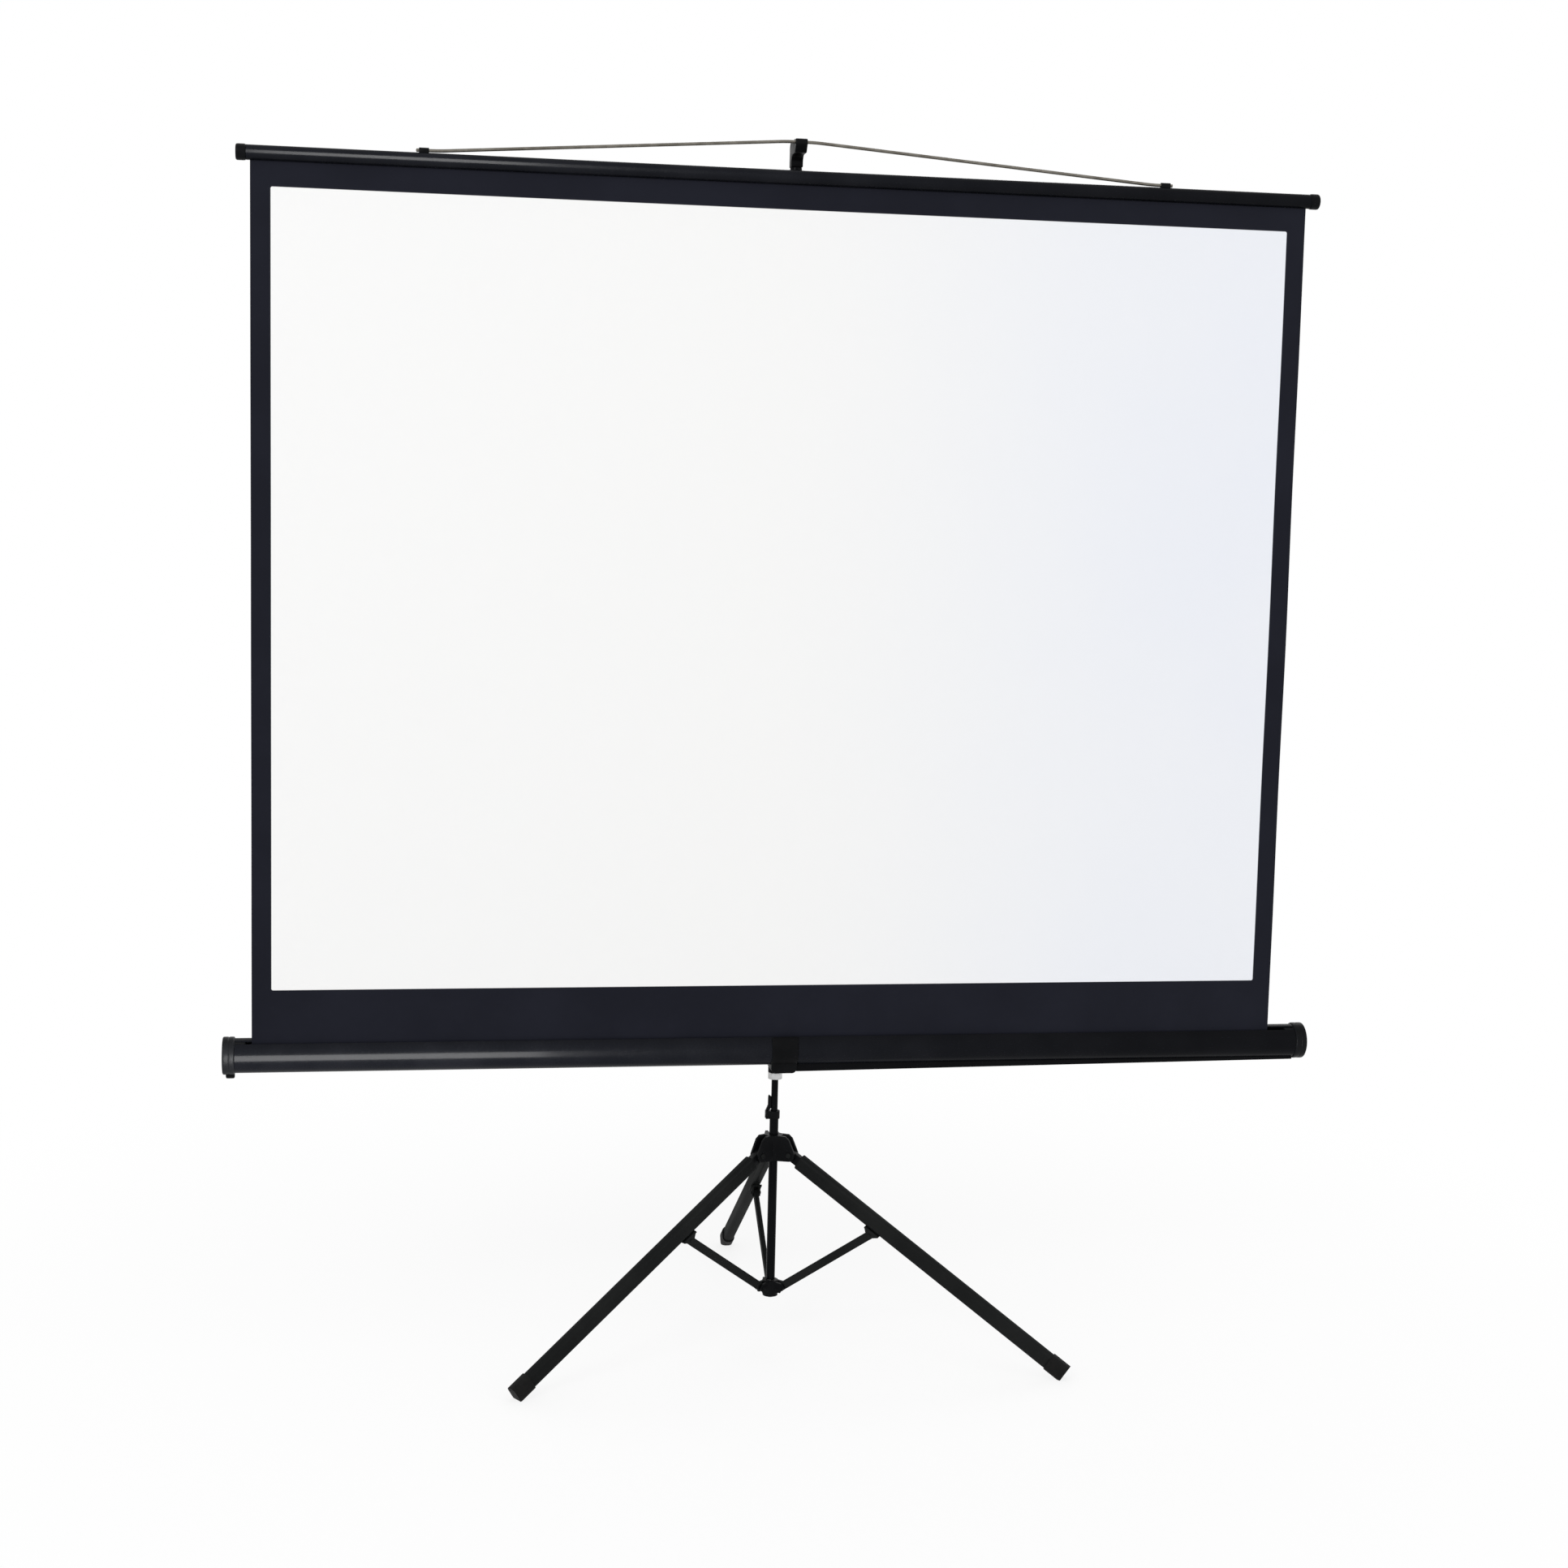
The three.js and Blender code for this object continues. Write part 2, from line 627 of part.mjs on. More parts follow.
// Hook: a plug in the extension, a neck, and an arm that reaches forward to a notch for the bail.
function hook() {
  const back = extensionRadius;
  const base = extensionTop + gap;
  const armBottom = hookNotchHeight - hookArmDepth;
  const armTop = hookNotchHeight + hookLip;
  const seat = bailWire + runningGap;
  const nose = hookReach + seat + hookLip / 2;
  const side = new THREE.Shape();
  side.moveTo(back, base);
  side.lineTo(back, armTop - hookRound);
  side.absarc(back - hookRound, armTop - hookRound, hookRound, 0, 90 * degree, false);
  side.lineTo(-hookReach + seat * 2, armTop);
  side.lineTo(-hookReach + seat, hookNotchHeight + seat);
  side.absarc(-hookReach, hookNotchHeight + seat, seat, 0, -180 * degree, true);
  side.lineTo(-hookReach - seat, armTop - 1);
  side.lineTo(-nose, armTop - 1);
  side.lineTo(-nose - 2, hookNotchHeight);
  side.lineTo(-hookReach, armBottom);
  side.lineTo(-back - hookRound, armBottom);
  side.absarc(-back - hookRound, armBottom - hookRound, hookRound, 90 * degree, 0, true);
  side.lineTo(-back, base);
  const arm = alongX(side, hookWidth, 8).translate(-hookWidth / 2, 0, 0);
  const plugRadius = extensionRadius - extensionWall - gap;
  const plug = rod(plugRadius, hookPlug + hookNeck).translate(0, 0, extensionTop - hookPlug);
  return joined(arm, plug);
}

// Carriage: a sleeve on the mast with a boss in front for the swivel bolt.
function carriage() {
  const bore = mastRadius + gap;
  const outer = bore + carriageWall;
  const sleeve = rod(outer, carriageHeight).translate(0, 0, -carriageHeight / 2);
  const boss = layY(rod(carriageBossRadius, carriageFront)).translate(0, -carriageFront, 0);
  const mastRoom = rod(bore, carriageHeight * 2).translate(0, 0, -carriageHeight);
  const boltRoom = layY(rod(swivelBoltRadius + gap, swivelThread, pinSides)).translate(0, -carriageFront, 0);
  const knobRoom = layY(rod(knobScrewRadius + gap, outer * 2, pinSides));
  return cut(joined(sleeve, boss), mastRoom, boltRoom, knobRoom);
}

// Saddle: a clip round the case, with a deep sole and a flat back that turns on the swivel bolt.
function saddle() {
  const bore = caseRadius + gap;
  const back = bore + saddleBack;
  const sole = caseRadius + saddleSole;
  const clip = layX(rod(bore + saddleShell, saddleWidth, caseSides)).translate(-saddleWidth / 2, 0, 0);
  const soleDepth = caseRadius * 1.5;
  const soleBlock = block(saddleWidth, soleDepth, sole).translate(0, 0, -sole / 2);
  const backBlock = block(saddleWidth, back, 2 * saddleHalfHeight).translate(0, back / 2, 0);
  const body = joined(clip, soleBlock, backBlock);
  const height = 4 * sole;
  const face = acrossY(roundedBox(saddleWidth, height, saddleCorner), height).translate(0, 0, height / 2 - sole);
  const caseRoom = layX(rod(bore, saddleWidth * 2, caseSides)).translate(-saddleWidth, 0, 0);
  const mouth = block(saddleWidth * 2, saddleMouth, sole).translate(0, -rollRadius, sole / 2 + caseRadius / 2);
  const boltRoom = layY(rod(swivelBoltRadius + runningGap, back * 2, pinSides));
  const headRoom = layY(rod(swivelHeadRadius + runningGap * 1.5, bore + swivelHeadThickness + 2 * gap, pinSides));
  return cut(common(body, face), caseRoom, mouth, boltRoom, headRoom);
}

function swivelBolt() {
  const headStart = -(caseForward - caseRadius - 2 * gap);
  const tip = -(carriageFront - swivelThread + gap);
  return layY(turned([
    [0, headStart], [swivelHeadRadius, headStart], [swivelHeadRadius, headStart + swivelHeadThickness],
    [swivelBoltRadius, headStart + swivelHeadThickness], [swivelBoltRadius, tip], [0, tip],
  ], pinSides));
}

// Stay: a keel under the right half of the case, deepest beside the saddle.
function caseStay() {
  const start = saddleWidth / 2 + gap;
  const end = caseTubeLength / 2 - stayEndGap;
  const side = new THREE.Shape();
  side.moveTo(start, -caseRadius / 2);
  side.lineTo(start, -caseRadius - stayDepthInner);
  side.lineTo(end, -caseRadius - stayDepthOuter);
  side.lineTo(end, -caseRadius / 2);
  const caseRoom = layX(rod(caseRadius + gap, end * 2, caseSides));
  return cut(acrossY(side, stayWidth), caseRoom);
}

// Case: a round tube open along a slot over the front of the roller.
function caseTube() {
  const tube = layX(pipe(caseRadius, caseRadius - caseWall, caseTubeLength, caseSides));
  const slot = block(caseTubeLength * 2, slotWidth, caseRadius * 2).translate(0, -rollRadius, caseRadius);
  return cut(tube.translate(-caseTubeLength / 2, 0, 0), slot);
}

function caseCap(side, hasFoot) {
  const plug = caseRadius - caseWall - gap;
  const rounding = caseCapRadius / 6;
  const cap = turned([
    [0, gudgeonSocketDepth - caseCapPlug], [gudgeonRadius + gap, gudgeonSocketDepth - caseCapPlug],
    [gudgeonRadius + gap, -caseCapPlug], [plug, -caseCapPlug], [plug, 0], [caseCapRadius, 0],
    [caseCapRadius, caseCapLength - rounding], [caseCapRadius - rounding * 0.3, caseCapLength - rounding * 0.3],
    [caseCapRadius - rounding, caseCapLength], [0, caseCapLength],
  ], caseSides);
  const laid = layX(cap);
  const foot = layX(rod(capFootRadius, caseCapLength - rounding, pinSides)).translate(0, 0, -capFootDrop);
  const whole = hasFoot ? joined(laid, foot) : laid;
  return side < 0 ? whole.rotateZ(Math.PI) : whole;
}

// Roller pieces, laid along X about the roller's axis
function rollerPlug(bore, neck) {
  const outer = rollerBore - gap;
  return layX(turned([
    [bore, 0], [outer, 0], [outer, rollerPlugLength], [neck, rollerPlugLength],
    [neck, rollerPlugLength + rollerEndRoom], [bore, rollerPlugLength + rollerEndRoom], [bore, 0],
  ], roundSides));
}

function idlePlug() {
  const outer = rollerBore - gap;
  const pinLength = socketEnd + rollerLeft;
  return layX(turned([
    [0, -rollerPlugLength], [outer, -rollerPlugLength], [outer, 0], [gudgeonRadius, 0],
    [gudgeonRadius, pinLength], [0, pinLength],
  ], roundSides)).rotateZ(Math.PI);
}

// A round wire swept through points, each section square to the run; `up` never lies along it.
function sweptWire(points, wire, sides, up) {
  const positions = [];
  const facets = [];
  points.forEach((point, i) => {
    const before = points[Math.max(i - 1, 0)];
    const after = points[Math.min(i + 1, points.length - 1)];
    const run = after.clone().sub(before).normalize();
    const side = up.clone().addScaledVector(run, -up.dot(run)).normalize();
    const cross = run.clone().cross(side);
    for (let k = 0; k < sides; k += 1) {
      const turn = (k / sides) * 2 * Math.PI;
      const rim = point.clone().addScaledVector(side, wire * Math.cos(turn));
      rim.addScaledVector(cross, wire * Math.sin(turn));
      positions.push(rim.x, rim.y, rim.z);
    }
  });
  const last = (points.length - 1) * sides;
  for (let ring = 0; ring < last; ring += sides) {
    for (let k = 0; k < sides; k += 1) {
      const [a, b] = [ring + k, ring + ((k + 1) % sides)];
      facets.push(a, b, a + sides, b, b + sides, a + sides);
    }
  }
  for (let k = 1; k + 1 < sides; k += 1) {
    facets.push(0, k + 1, k, last, last + k, last + k + 1);
  }
  const geometry = new THREE.BufferGeometry();
  geometry.setAttribute('position', new THREE.Float32BufferAttribute(positions, 3));
  geometry.setIndex(facets);
  return geometry;
}

// The roller's spring: an open helix along +X.
function rollerSpring() {
  const radius = rollerBore - gap - springWire;
  const points = [];
  for (let i = 0; i <= springTurns * springStepsPerTurn; i += 1) {
    const turn = (i / springStepsPerTurn) * 2 * Math.PI;
    const along = (i / (springTurns * springStepsPerTurn)) * springLength;
    points.push(new THREE.Vector3(along, radius * Math.cos(turn), radius * Math.sin(turn)));
  }
  const leastGap = springLength / springTurns - 2 * springWire;
  console.log(`least gap between the spring's turns: ${leastGap.toFixed(2)} mm`);
  return sweptWire(points, springWire, springSides, new THREE.Vector3(1, 0, 0));
}

// Slat: a round tube slit along its underside for the fabric, with a spline rod that holds the hem.
function slatTube() {
  const tube = layX(pipe(slatRadius, slatInner, slatTubeLength)).translate(-slatTubeLength / 2, 0, 0);
  const slit = block(slatTubeLength * 2, slatSlit, slatRadius * 2).translate(0, 0, -slatRadius);
  return cut(tube, slit);
}

function slatCap(side) {
  const plug = slatInner - gap;
  const cap = layX(turned([
    [0, -slatCapPlug], [plug, -slatCapPlug], [plug, 0], [slatCapRadius, 0],
    [slatCapRadius, slatCapLength - 3], [slatCapRadius - 3, slatCapLength], [0, slatCapLength],
  ]));
  const fabricRoom = block(slatCapPlug * 2, slatSlit, slatRadius).translate(-slatCapPlug, 0, -slatInner);
  const slotted = cut(cap, fabricRoom);
  return side < 0 ? slotted.rotateZ(Math.PI) : slotted;
}

function bailClip() {
  const outline = new THREE.Shape();
  outline.moveTo(clipHalfWidth, slatRadius / 2);
  outline.lineTo(clipHalfWidth, bailLift);
  outline.absarc(0, bailLift, clipHalfWidth, 0, 180 * degree, false);
  outline.lineTo(-clipHalfWidth, slatRadius / 2);
  const bar = alongX(outline, clipLength).translate(-clipLength / 2, 0, 0);
  const slatRoom = layX(rod(slatRadius + gap, clipLength * 2)).translate(-clipLength, 0, 0);
  const bore = layX(rod(bailWire + runningGap, clipLength * 2, pinSides)).translate(-clipLength, 0, bailLift);
  return cut(bar, slatRoom, bore);
}

// Bail: one bent wire, its two ends in the clips and a short level run at its peak in the hook's notch.
function bail() {
  const foot = new THREE.Vector3(bailHalfSpan - clipLength / 2 - gap, -fabricForward, bailPivotHeight);
  const peak = new THREE.Vector3(hookWidth / 2 + bailBend / 2, -hookReach, bailApexHeight);
  const slope = peak.clone().sub(foot).normalize();
  const level = new THREE.Vector3(-1, 0, 0);
  const bend = (corner, into, out) => new THREE.QuadraticBezierCurve3(
    corner.clone().addScaledVector(into, -bailBend / 2), corner, corner.clone().addScaledVector(out, bailBend / 2),
  ).getPoints(bendSteps);
  const knee = foot.clone().addScaledVector(level, bailBend / 2);
  const end = new THREE.Vector3(bailHalfSpan + clipLength / 2 + bailEnd, foot.y, foot.z);
  const half = [end, ...bend(knee, level, slope), ...bend(peak, slope, level)];
  const other = half.map((point) => new THREE.Vector3(-point.x, point.y, point.z)).reverse();
  return sweptWire([...half, ...other], bailWire, wireSides, new THREE.Vector3(0, 0, 1));
}

// Assembly about the mast's axis
const stand = new THREE.Group();
for (const [name, angle] of Object.entries(legAngles)) {
  stand.add(tripodLeg(name, angle));
}
stand.add(
  at(piece('hub', 'blackPlastic', hub()), 0, 0, hubPivotHeight),
  piece('spider', 'blackPlastic', spider()),
  piece('spider_bolt', 'zinc', spiderBolt()),
  at(piece('lower_post', 'blackEnamel', pipe(postRadius, stemRadius + gap, postLength)), 0, 0, postBottom),
  at(piece('centre_rod', 'zinc', pipe(stemRadius, stemRadius - stemWall, rodLength)), 0, 0, rodBottom),
  piece('latch_collar', 'blackPlastic', latchCollar()),
  piece('latch_lever', 'blackPlastic', latchLever()),
  piece('latch_pin', 'legEnamel', latchPin()),
);

const stemTop = mastBottom + ferruleLip + ferruleSpigot;
const stemBottom = rodTop + stemRoom;
const extensionTube = pipe(extensionRadius, extensionRadius - extensionWall, extensionLength);
stand.add(
  at(piece('stem', 'blackEnamel', pipe(stemRadius, stemRadius - stemWall, stemTop - stemBottom)), 0, 0, stemBottom),
  piece('mast_ferrule', 'zinc', ferrule()),
  at(piece('mast_tube', 'blackEnamel', pipe(mastRadius, mastBore, mastLength)), 0, 0, mastTubeBottom),
  piece('mast_collar', 'blackPlastic', mastCollar()),
  at(piece('mast_knob', 'blackPlastic', clampKnob(extensionRadius, mastRadius + gap + collarWall)),
    0, 0, mastTop + collarHead / 2),
  at(piece('extension_tube', 'blackEnamel', extensionTube), 0, 0, extensionTop - extensionLength),
  piece('hook', 'blackPlastic', hook()),
);

const washerStart = -(caseForward - caseRadius - gap - saddleBack - gap);
const washer = layY(pipe(washerRadius, swivelBoltRadius + runningGap, washerThickness, pinSides));
stand.add(
  at(piece('carriage', 'blackPlastic', carriage()), 0, 0, caseHeight),
  at(piece('carriage_knob', 'blackPlastic', clampKnob(mastRadius, mastRadius + gap + carriageWall)), 0, 0, caseHeight),
  at(piece('swivel_bolt', 'zinc', swivelBolt()), 0, 0, caseHeight),
  at(piece('swivel_washer', 'zinc', washer), 0, washerStart, caseHeight),
);

// Everything in the case lies about the roller's axis.
const caseGroup = new THREE.Group();
caseGroup.position.set(0, -caseForward, caseHeight);
const arbor = layX(rod(gudgeonRadius, socketEnd - rollerRight + arborReach, pinSides));
const wraps = layX(pipe(rollerRadius + gap + wrapThickness, rollerRadius + gap, fabricWidth));
caseGroup.add(
  piece('case_tube', 'blackEnamel', caseTube()),
  at(piece('case_cap_left', 'blackPlastic', caseCap(-1, true)), -capSeat, 0, 0),
  at(piece('case_cap_right', 'blackPlastic', caseCap(1, false)), capSeat, 0, 0),
  piece('case_saddle', 'blackPlastic', saddle()),
  piece('case_stay', 'blackEnamel', caseStay()),
  at(piece('roller_tube', 'rollerSteel', layX(pipe(rollerRadius, rollerBore, rollerLength))), rollerLeft, 0, 0),
  at(piece('roller_idle_plug', 'blackPlastic', idlePlug()), rollerLeft, 0, 0),
  at(piece('roller_spring_plug', 'blackPlastic', rollerPlug(gudgeonRadius + runningGap, rollerRadius)),
    rollerRight - rollerPlugLength, 0, 0),
  at(piece('roller_spring', 'rollerSteel', rollerSpring()),
    rollerRight - rollerPlugLength - gap - 2 * springWire - springLength, 0, 0),
  at(piece('spring_arbor', 'rollerSteel', arbor), rollerRight - arborReach, 0, 0),
  at(piece('fabric_wraps', 'blackFabric', wraps), screenOffset - fabricWidth / 2, 0, 0),
);
stand.add(caseGroup);

// The fabric runs from the front of the roller up into the slat.
const fabricTop = slatHeight - slatInner - gap;
const fabricLength = fabricTop - caseHeight;
stand.add(at(piece('screen_fabric', 'whiteFabric', block(fabricWidth, fabricThickness, fabricLength)),
  screenOffset, -fabricForward, caseHeight + fabricLength / 2));

const slatGroup = new THREE.Group();
slatGroup.position.set(0, -fabricForward, slatHeight);
const slatEnd = slatTubeLength / 2 + gap;
const spline = layX(rod(splineRadius, slatTubeLength - 2 * slatCapPlug - 2 * gap, pinSides));
slatGroup.add(
  at(piece('slat_tube', 'blackEnamel', slatTube()), screenOffset, 0, 0),
  at(piece('slat_spline', 'rollerSteel', spline),
    screenOffset - slatTubeLength / 2 + slatCapPlug + gap, 0, splineRadius + gap - slatInner),
  at(piece('slat_cap_left', 'blackPlastic', slatCap(-1)), screenOffset - slatEnd, 0, 0),
  at(piece('slat_cap_right', 'blackPlastic', slatCap(1)), screenOffset + slatEnd, 0, 0),
  at(piece('bail_clip_left', 'blackPlastic', bailClip()), -bailHalfSpan, 0, 0),
  at(piece('bail_clip_right', 'blackPlastic', bailClip()), bailHalfSpan, 0, 0),
);
stand.add(slatGroup, piece('bail', 'wire', bail()));

// The origin is on the floor, under the middle of the screen's outline.
const screen = new THREE.Group();
screen.add(stand);
const outline = new THREE.Box3().setFromObject(stand, true);
stand.position.y = -(outline.min.y + outline.max.y) / 2;

export default screen;
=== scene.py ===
"""A portable tripod projection screen, dressed round its solids.

The cloth, case, slat, mast, legs and bail are finer surfaces in the places of their solids; moulded and pressed pieces
keep their solids' shapes with softened edges.
"""

import json
import math

import bmesh
import bpy
import numpy as np
from mathutils import Matrix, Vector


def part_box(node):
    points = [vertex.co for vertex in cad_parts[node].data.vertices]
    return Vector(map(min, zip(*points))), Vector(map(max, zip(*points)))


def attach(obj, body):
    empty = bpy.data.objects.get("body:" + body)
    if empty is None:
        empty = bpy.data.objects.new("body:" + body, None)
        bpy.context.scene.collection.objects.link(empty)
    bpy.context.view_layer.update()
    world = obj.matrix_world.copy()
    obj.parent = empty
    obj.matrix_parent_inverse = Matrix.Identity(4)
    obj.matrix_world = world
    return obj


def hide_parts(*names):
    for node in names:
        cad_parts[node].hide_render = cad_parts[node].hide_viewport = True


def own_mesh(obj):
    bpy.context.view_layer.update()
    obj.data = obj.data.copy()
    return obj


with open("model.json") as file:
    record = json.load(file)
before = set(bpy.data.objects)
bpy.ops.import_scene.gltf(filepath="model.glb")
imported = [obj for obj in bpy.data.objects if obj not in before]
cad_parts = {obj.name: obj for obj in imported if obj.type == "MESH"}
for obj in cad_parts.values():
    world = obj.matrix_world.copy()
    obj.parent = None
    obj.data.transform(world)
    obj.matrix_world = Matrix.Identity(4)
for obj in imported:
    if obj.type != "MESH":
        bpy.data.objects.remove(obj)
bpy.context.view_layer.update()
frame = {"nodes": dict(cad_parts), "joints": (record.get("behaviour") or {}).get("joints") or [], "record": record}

# Sizes in metres, as the solids have them
GAP = 0.0003

# Cloth: a white picture with a printed border, and the turns of it left on the roller
PICTURE = (1.700, 1.300)
PICTURE_CORNER = 0.003
PRINT_BLUR = 0.0006
SIDE_BORDER = 0.032
TOP_BORDER = 0.040
CLOTH = 0.0008
CLOTH_GRID = (150, 110)
THREADS = (900, 740)
WRAP_CLOTH = 0.0002
WRAP_SKIN = 0.00012
WRAP_CLIMB = 0.00034
WRAP_ANGLE = 3 * math.pi
WRAP_STEPS = 140

# Ripple of the cloth: its height, where it begins and how far it runs up the cloth as shares, and its waves in radians
CLOTH_RIPPLE = 0.0011
RIPPLE_FOOT = 0.06
RIPPLE_SPAN = 0.9
RIPPLE_FULLNESS = 0.7
SLOW_WAVE_ACROSS = 9.4
SLOW_WAVE_UP = 2.1
EDGE_WAVE_UP = 17
EDGE_WAVE_STAGGER = 2.6
EDGE_WAVE_SHARE = 1.4
EDGE_NARROWNESS = 6

# Case, its end caps and the small foot under the left one
CASE_WALL = 0.0014
CASE_SLOT = 0.008
CASE_LIP = 0.0035
CAP_PLUG = 0.0178
CAP_PLUG_ROOM = 0.0005
CAP_GROOVE = 0.0007
CAP_GROOVE_SHARES = (0.42, 0.45, 0.5, 0.53)
CAP_DISH = 0.0014
CAP_DISH_SHARES = (0.72, 0.68, 0.3, 0.26)
CAP_BOSS_DROP = 0.0004
CAP_RIM = 0.0032
CAP_FOOT_RADIUS = 0.0085
CAP_FOOT_LENGTH = 0.0147
CAP_FOOT_GAP = 0.0005
CAP_FOOT_RIM = 0.003

# Slat and bail
SLAT_WALL = 0.0016
SLAT_SLIT = 0.0026
SLAT_LIP = 0.0022
SLAT_PLUG = 0.012
SLAT_PLUG_ROOM = 0.0004
SLAT_CAP_RIM = 0.0038
BAIL_WIRE = 0.00275
BAIL_BEND = 0.015
BAIL_BEND_STEPS = 10
BAIL_RISE_INSIDE_CLIP = 0.0233
BAIL_LEVEL_PAST_HOOK = 0.015

# Tubes and legs
TUBE_WALLS = {
    "mast_tube": 0.0022, "extension_tube": 0.0015, "lower_post": 0.0016, "stem": 0.0013, "centre_rod": 0.0013,
}
ROLLER_WALL = 0.0012
LEGS = {"front_left": -150, "front_right": -30, "rear": 90}
LEG_SPREAD = math.radians(57.4)
LEG_START = 0.020
LEG_END = 0.5947
LEG_WIDTH = 0.020
LEG_HEIGHT = 0.028
LEG_CORNER = 0.008
LEG_CORNER_STEPS = 8
LEG_GROOVE = 0.0005
LEG_GROOVE_HEIGHT = 0.006
LEG_GROOVE_SPREAD = 0.0012

# How far the hard edges of moulded and pressed solids are rounded over
SOFT_EDGES = {
    "hub": 0.0012, "spider": 0.0012, "hook": 0.0022, "carriage": 0.0012, "case_saddle": 0.0012, "case_stay": 0.001,
    "mast_collar": 0.0008, "mast_knob": 0.0012, "carriage_knob": 0.0012, "latch_collar": 0.0007,
    "latch_lever": 0.0007, "bail_clip_left": 0.0008, "bail_clip_right": 0.0008, "mast_ferrule": 0.0006,
    "spider_bolt": 0.0006, "swivel_bolt": 0.0005, "swivel_washer": 0.0003, "latch_pin": 0.0003,
}
LEG_SOFT_EDGES = {
    "leg_head": 0.001, "foot": 0.0012, "leg_bracket": 0.0006, "brace": 0.0022, "leg_pin": 0.0005,
    "bracket_pin": 0.0004,
}

# Floor and surroundings: the floor's own white in view, near the part and far from it, and where that change lies
FLOOR_HALF = 30
FLOOR_COLOUR = (0.93, 0.93, 0.93, 1)
GLOW_NEAR, GLOW_FAR = 0.8, 1.0
GLOW_START, GLOW_END = 0.3, 2.2
SKY_STRENGTH = 0.78
BACKDROP_STRENGTH = 1.0
WHITE = (1, 1, 1, 1)

# Camera, from a fit to the corners of the picture, the ends of slat and case, the hub and the feet
FRAME_PIXELS = 1932
FOCAL_PIXELS = 2959
SENSOR = 36
CAMERA_PLACE = (-0.6923, -4.2007, 1.4561)
YAW, PITCH, ROLL = np.radians([9.71, -6.51, 1.335])

# Mesh work
SHARP_EDGE = math.radians(38)
FLAT_FACETS = math.radians(1.5)
MERGE = 1e-6
SOLID_MERGE = 2e-6
SLIVER = 1e-7
NEARLY_HALF = 0.48
TUBE_RIM = 0.0006
LEG_RIM = 0.001
WIRE_DOME = 0.4
ARC_STEPS = 120
TUBE_STATIONS = 9

# Sockets of a colour mix
MIX_SHARE, MIX_LOW, MIX_HIGH, MIX_RESULT = 0, 6, 7, 2

X, Y, Z = np.eye(3)
ABOUT = {"x": (X, Y, Z), "z": (Z, X, Y)}


def corners(node):
    """Lowest and highest corner of a solid as arrays."""
    low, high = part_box(node)
    return np.array(low), np.array(high)


def middle(node):
    """Middle of a solid's box."""
    low, high = corners(node)
    return (low + high) / 2


# Meshes


def finished(name, mesh, outward=True):
    """Merges doubles, turns the faces outwards, and shades smooth except over edges sharper than SHARP_EDGE."""
    work = bmesh.new()
    work.from_mesh(mesh)
    bmesh.ops.remove_doubles(work, verts=work.verts, dist=MERGE)
    bmesh.ops.dissolve_degenerate(work, dist=SLIVER, edges=work.edges)
    if outward:
        bmesh.ops.recalc_face_normals(work, faces=work.faces)
    for edge in work.edges:
        edge.smooth = len(edge.link_faces) == 2 and edge.calc_face_angle(0) < SHARP_EDGE
    for face in work.faces:
        face.smooth = True
    work.to_mesh(mesh)
    work.free()
    piece = bpy.data.objects.new(name, mesh)
    bpy.context.collection.objects.link(piece)
    return piece


def from_grid(name, grid, around=False, outward=True):
    """Quads between neighbours of a grid of points; `around` also joins the last column to the first."""
    rows, columns = grid.shape[:2]
    index = np.arange(rows * columns).reshape(rows, columns)
    left = index if around else index[:, :-1]
    right = np.roll(index, -1, axis=1) if around else index[:, 1:]
    quads = np.stack([left[:-1], right[:-1], right[1:], left[1:]], axis=-1).reshape(-1, 4)
    mesh = bpy.data.meshes.new(name)
    mesh.from_pydata(grid.reshape(-1, 3).tolist(), [], quads.tolist())
    return finished(name, mesh, outward)


def filleted(line, radius, steps=4):
    """Each inner corner c of a line of points becomes (1-t)^2 a + 2t(1-t) c + t^2 b, where a and b lie `radius`
    before and after it, or NEARLY_HALF of the way to its neighbour."""
    line = np.asarray(line, float)
    t = np.linspace(0, 1, steps + 1)[:, None]
    parts = [line[:1]]
    for before, corner, after in zip(line[:-2], line[1:-1], line[2:]):
        reach_in = before - corner
        reach_out = after - corner
        a = corner + reach_in * min(radius / np.linalg.norm(reach_in), NEARLY_HALF)
        b = corner + reach_out * min(radius / np.linalg.norm(reach_out), NEARLY_HALF)
        parts.append((1 - t) ** 2 * a + 2 * t * (1 - t) * corner + t**2 * b)
    parts.append(line[-1:])
    return np.concatenate(parts)


def turned(name, profile, axis, centre, sides=64):
    """A line of (radius, distance) points carried round an axis: centre + d axis + r (cos a side + sin a up)."""
    along, side, up = ABOUT[axis]
    radius, distance = np.asarray(profile, float).T
    angle = np.linspace(0, math.tau, sides, endpoint=False)
    ring = np.cos(angle)[:, None] * side + np.sin(angle)[:, None] * up
    grid = np.asarray(centre) + distance[:, None, None] * along + radius[:, None, None] * ring[None]
    return from_grid(name, grid, around=True)


def tube(node, axis, wall):
    """A round tube in the place of a solid: a ring profile with softened rims carried round its axis."""
    low, high = corners(node)
    along = "xyz".index(axis)
    across = (along + 1) % 3
    outer = (high[across] - low[across]) / 2
    inner = outer - wall
    length = high[along] - low[along]
    centre = (low + high) / 2
    centre[along] = low[along]
    ring = [
        (inner, length / 2), (inner, length), (outer, length), (outer, length / 2),
        (outer, 0), (inner, 0), (inner, length / 2),
    ]
    return turned(node + "_round", filleted(ring, TUBE_RIM), axis, centre)


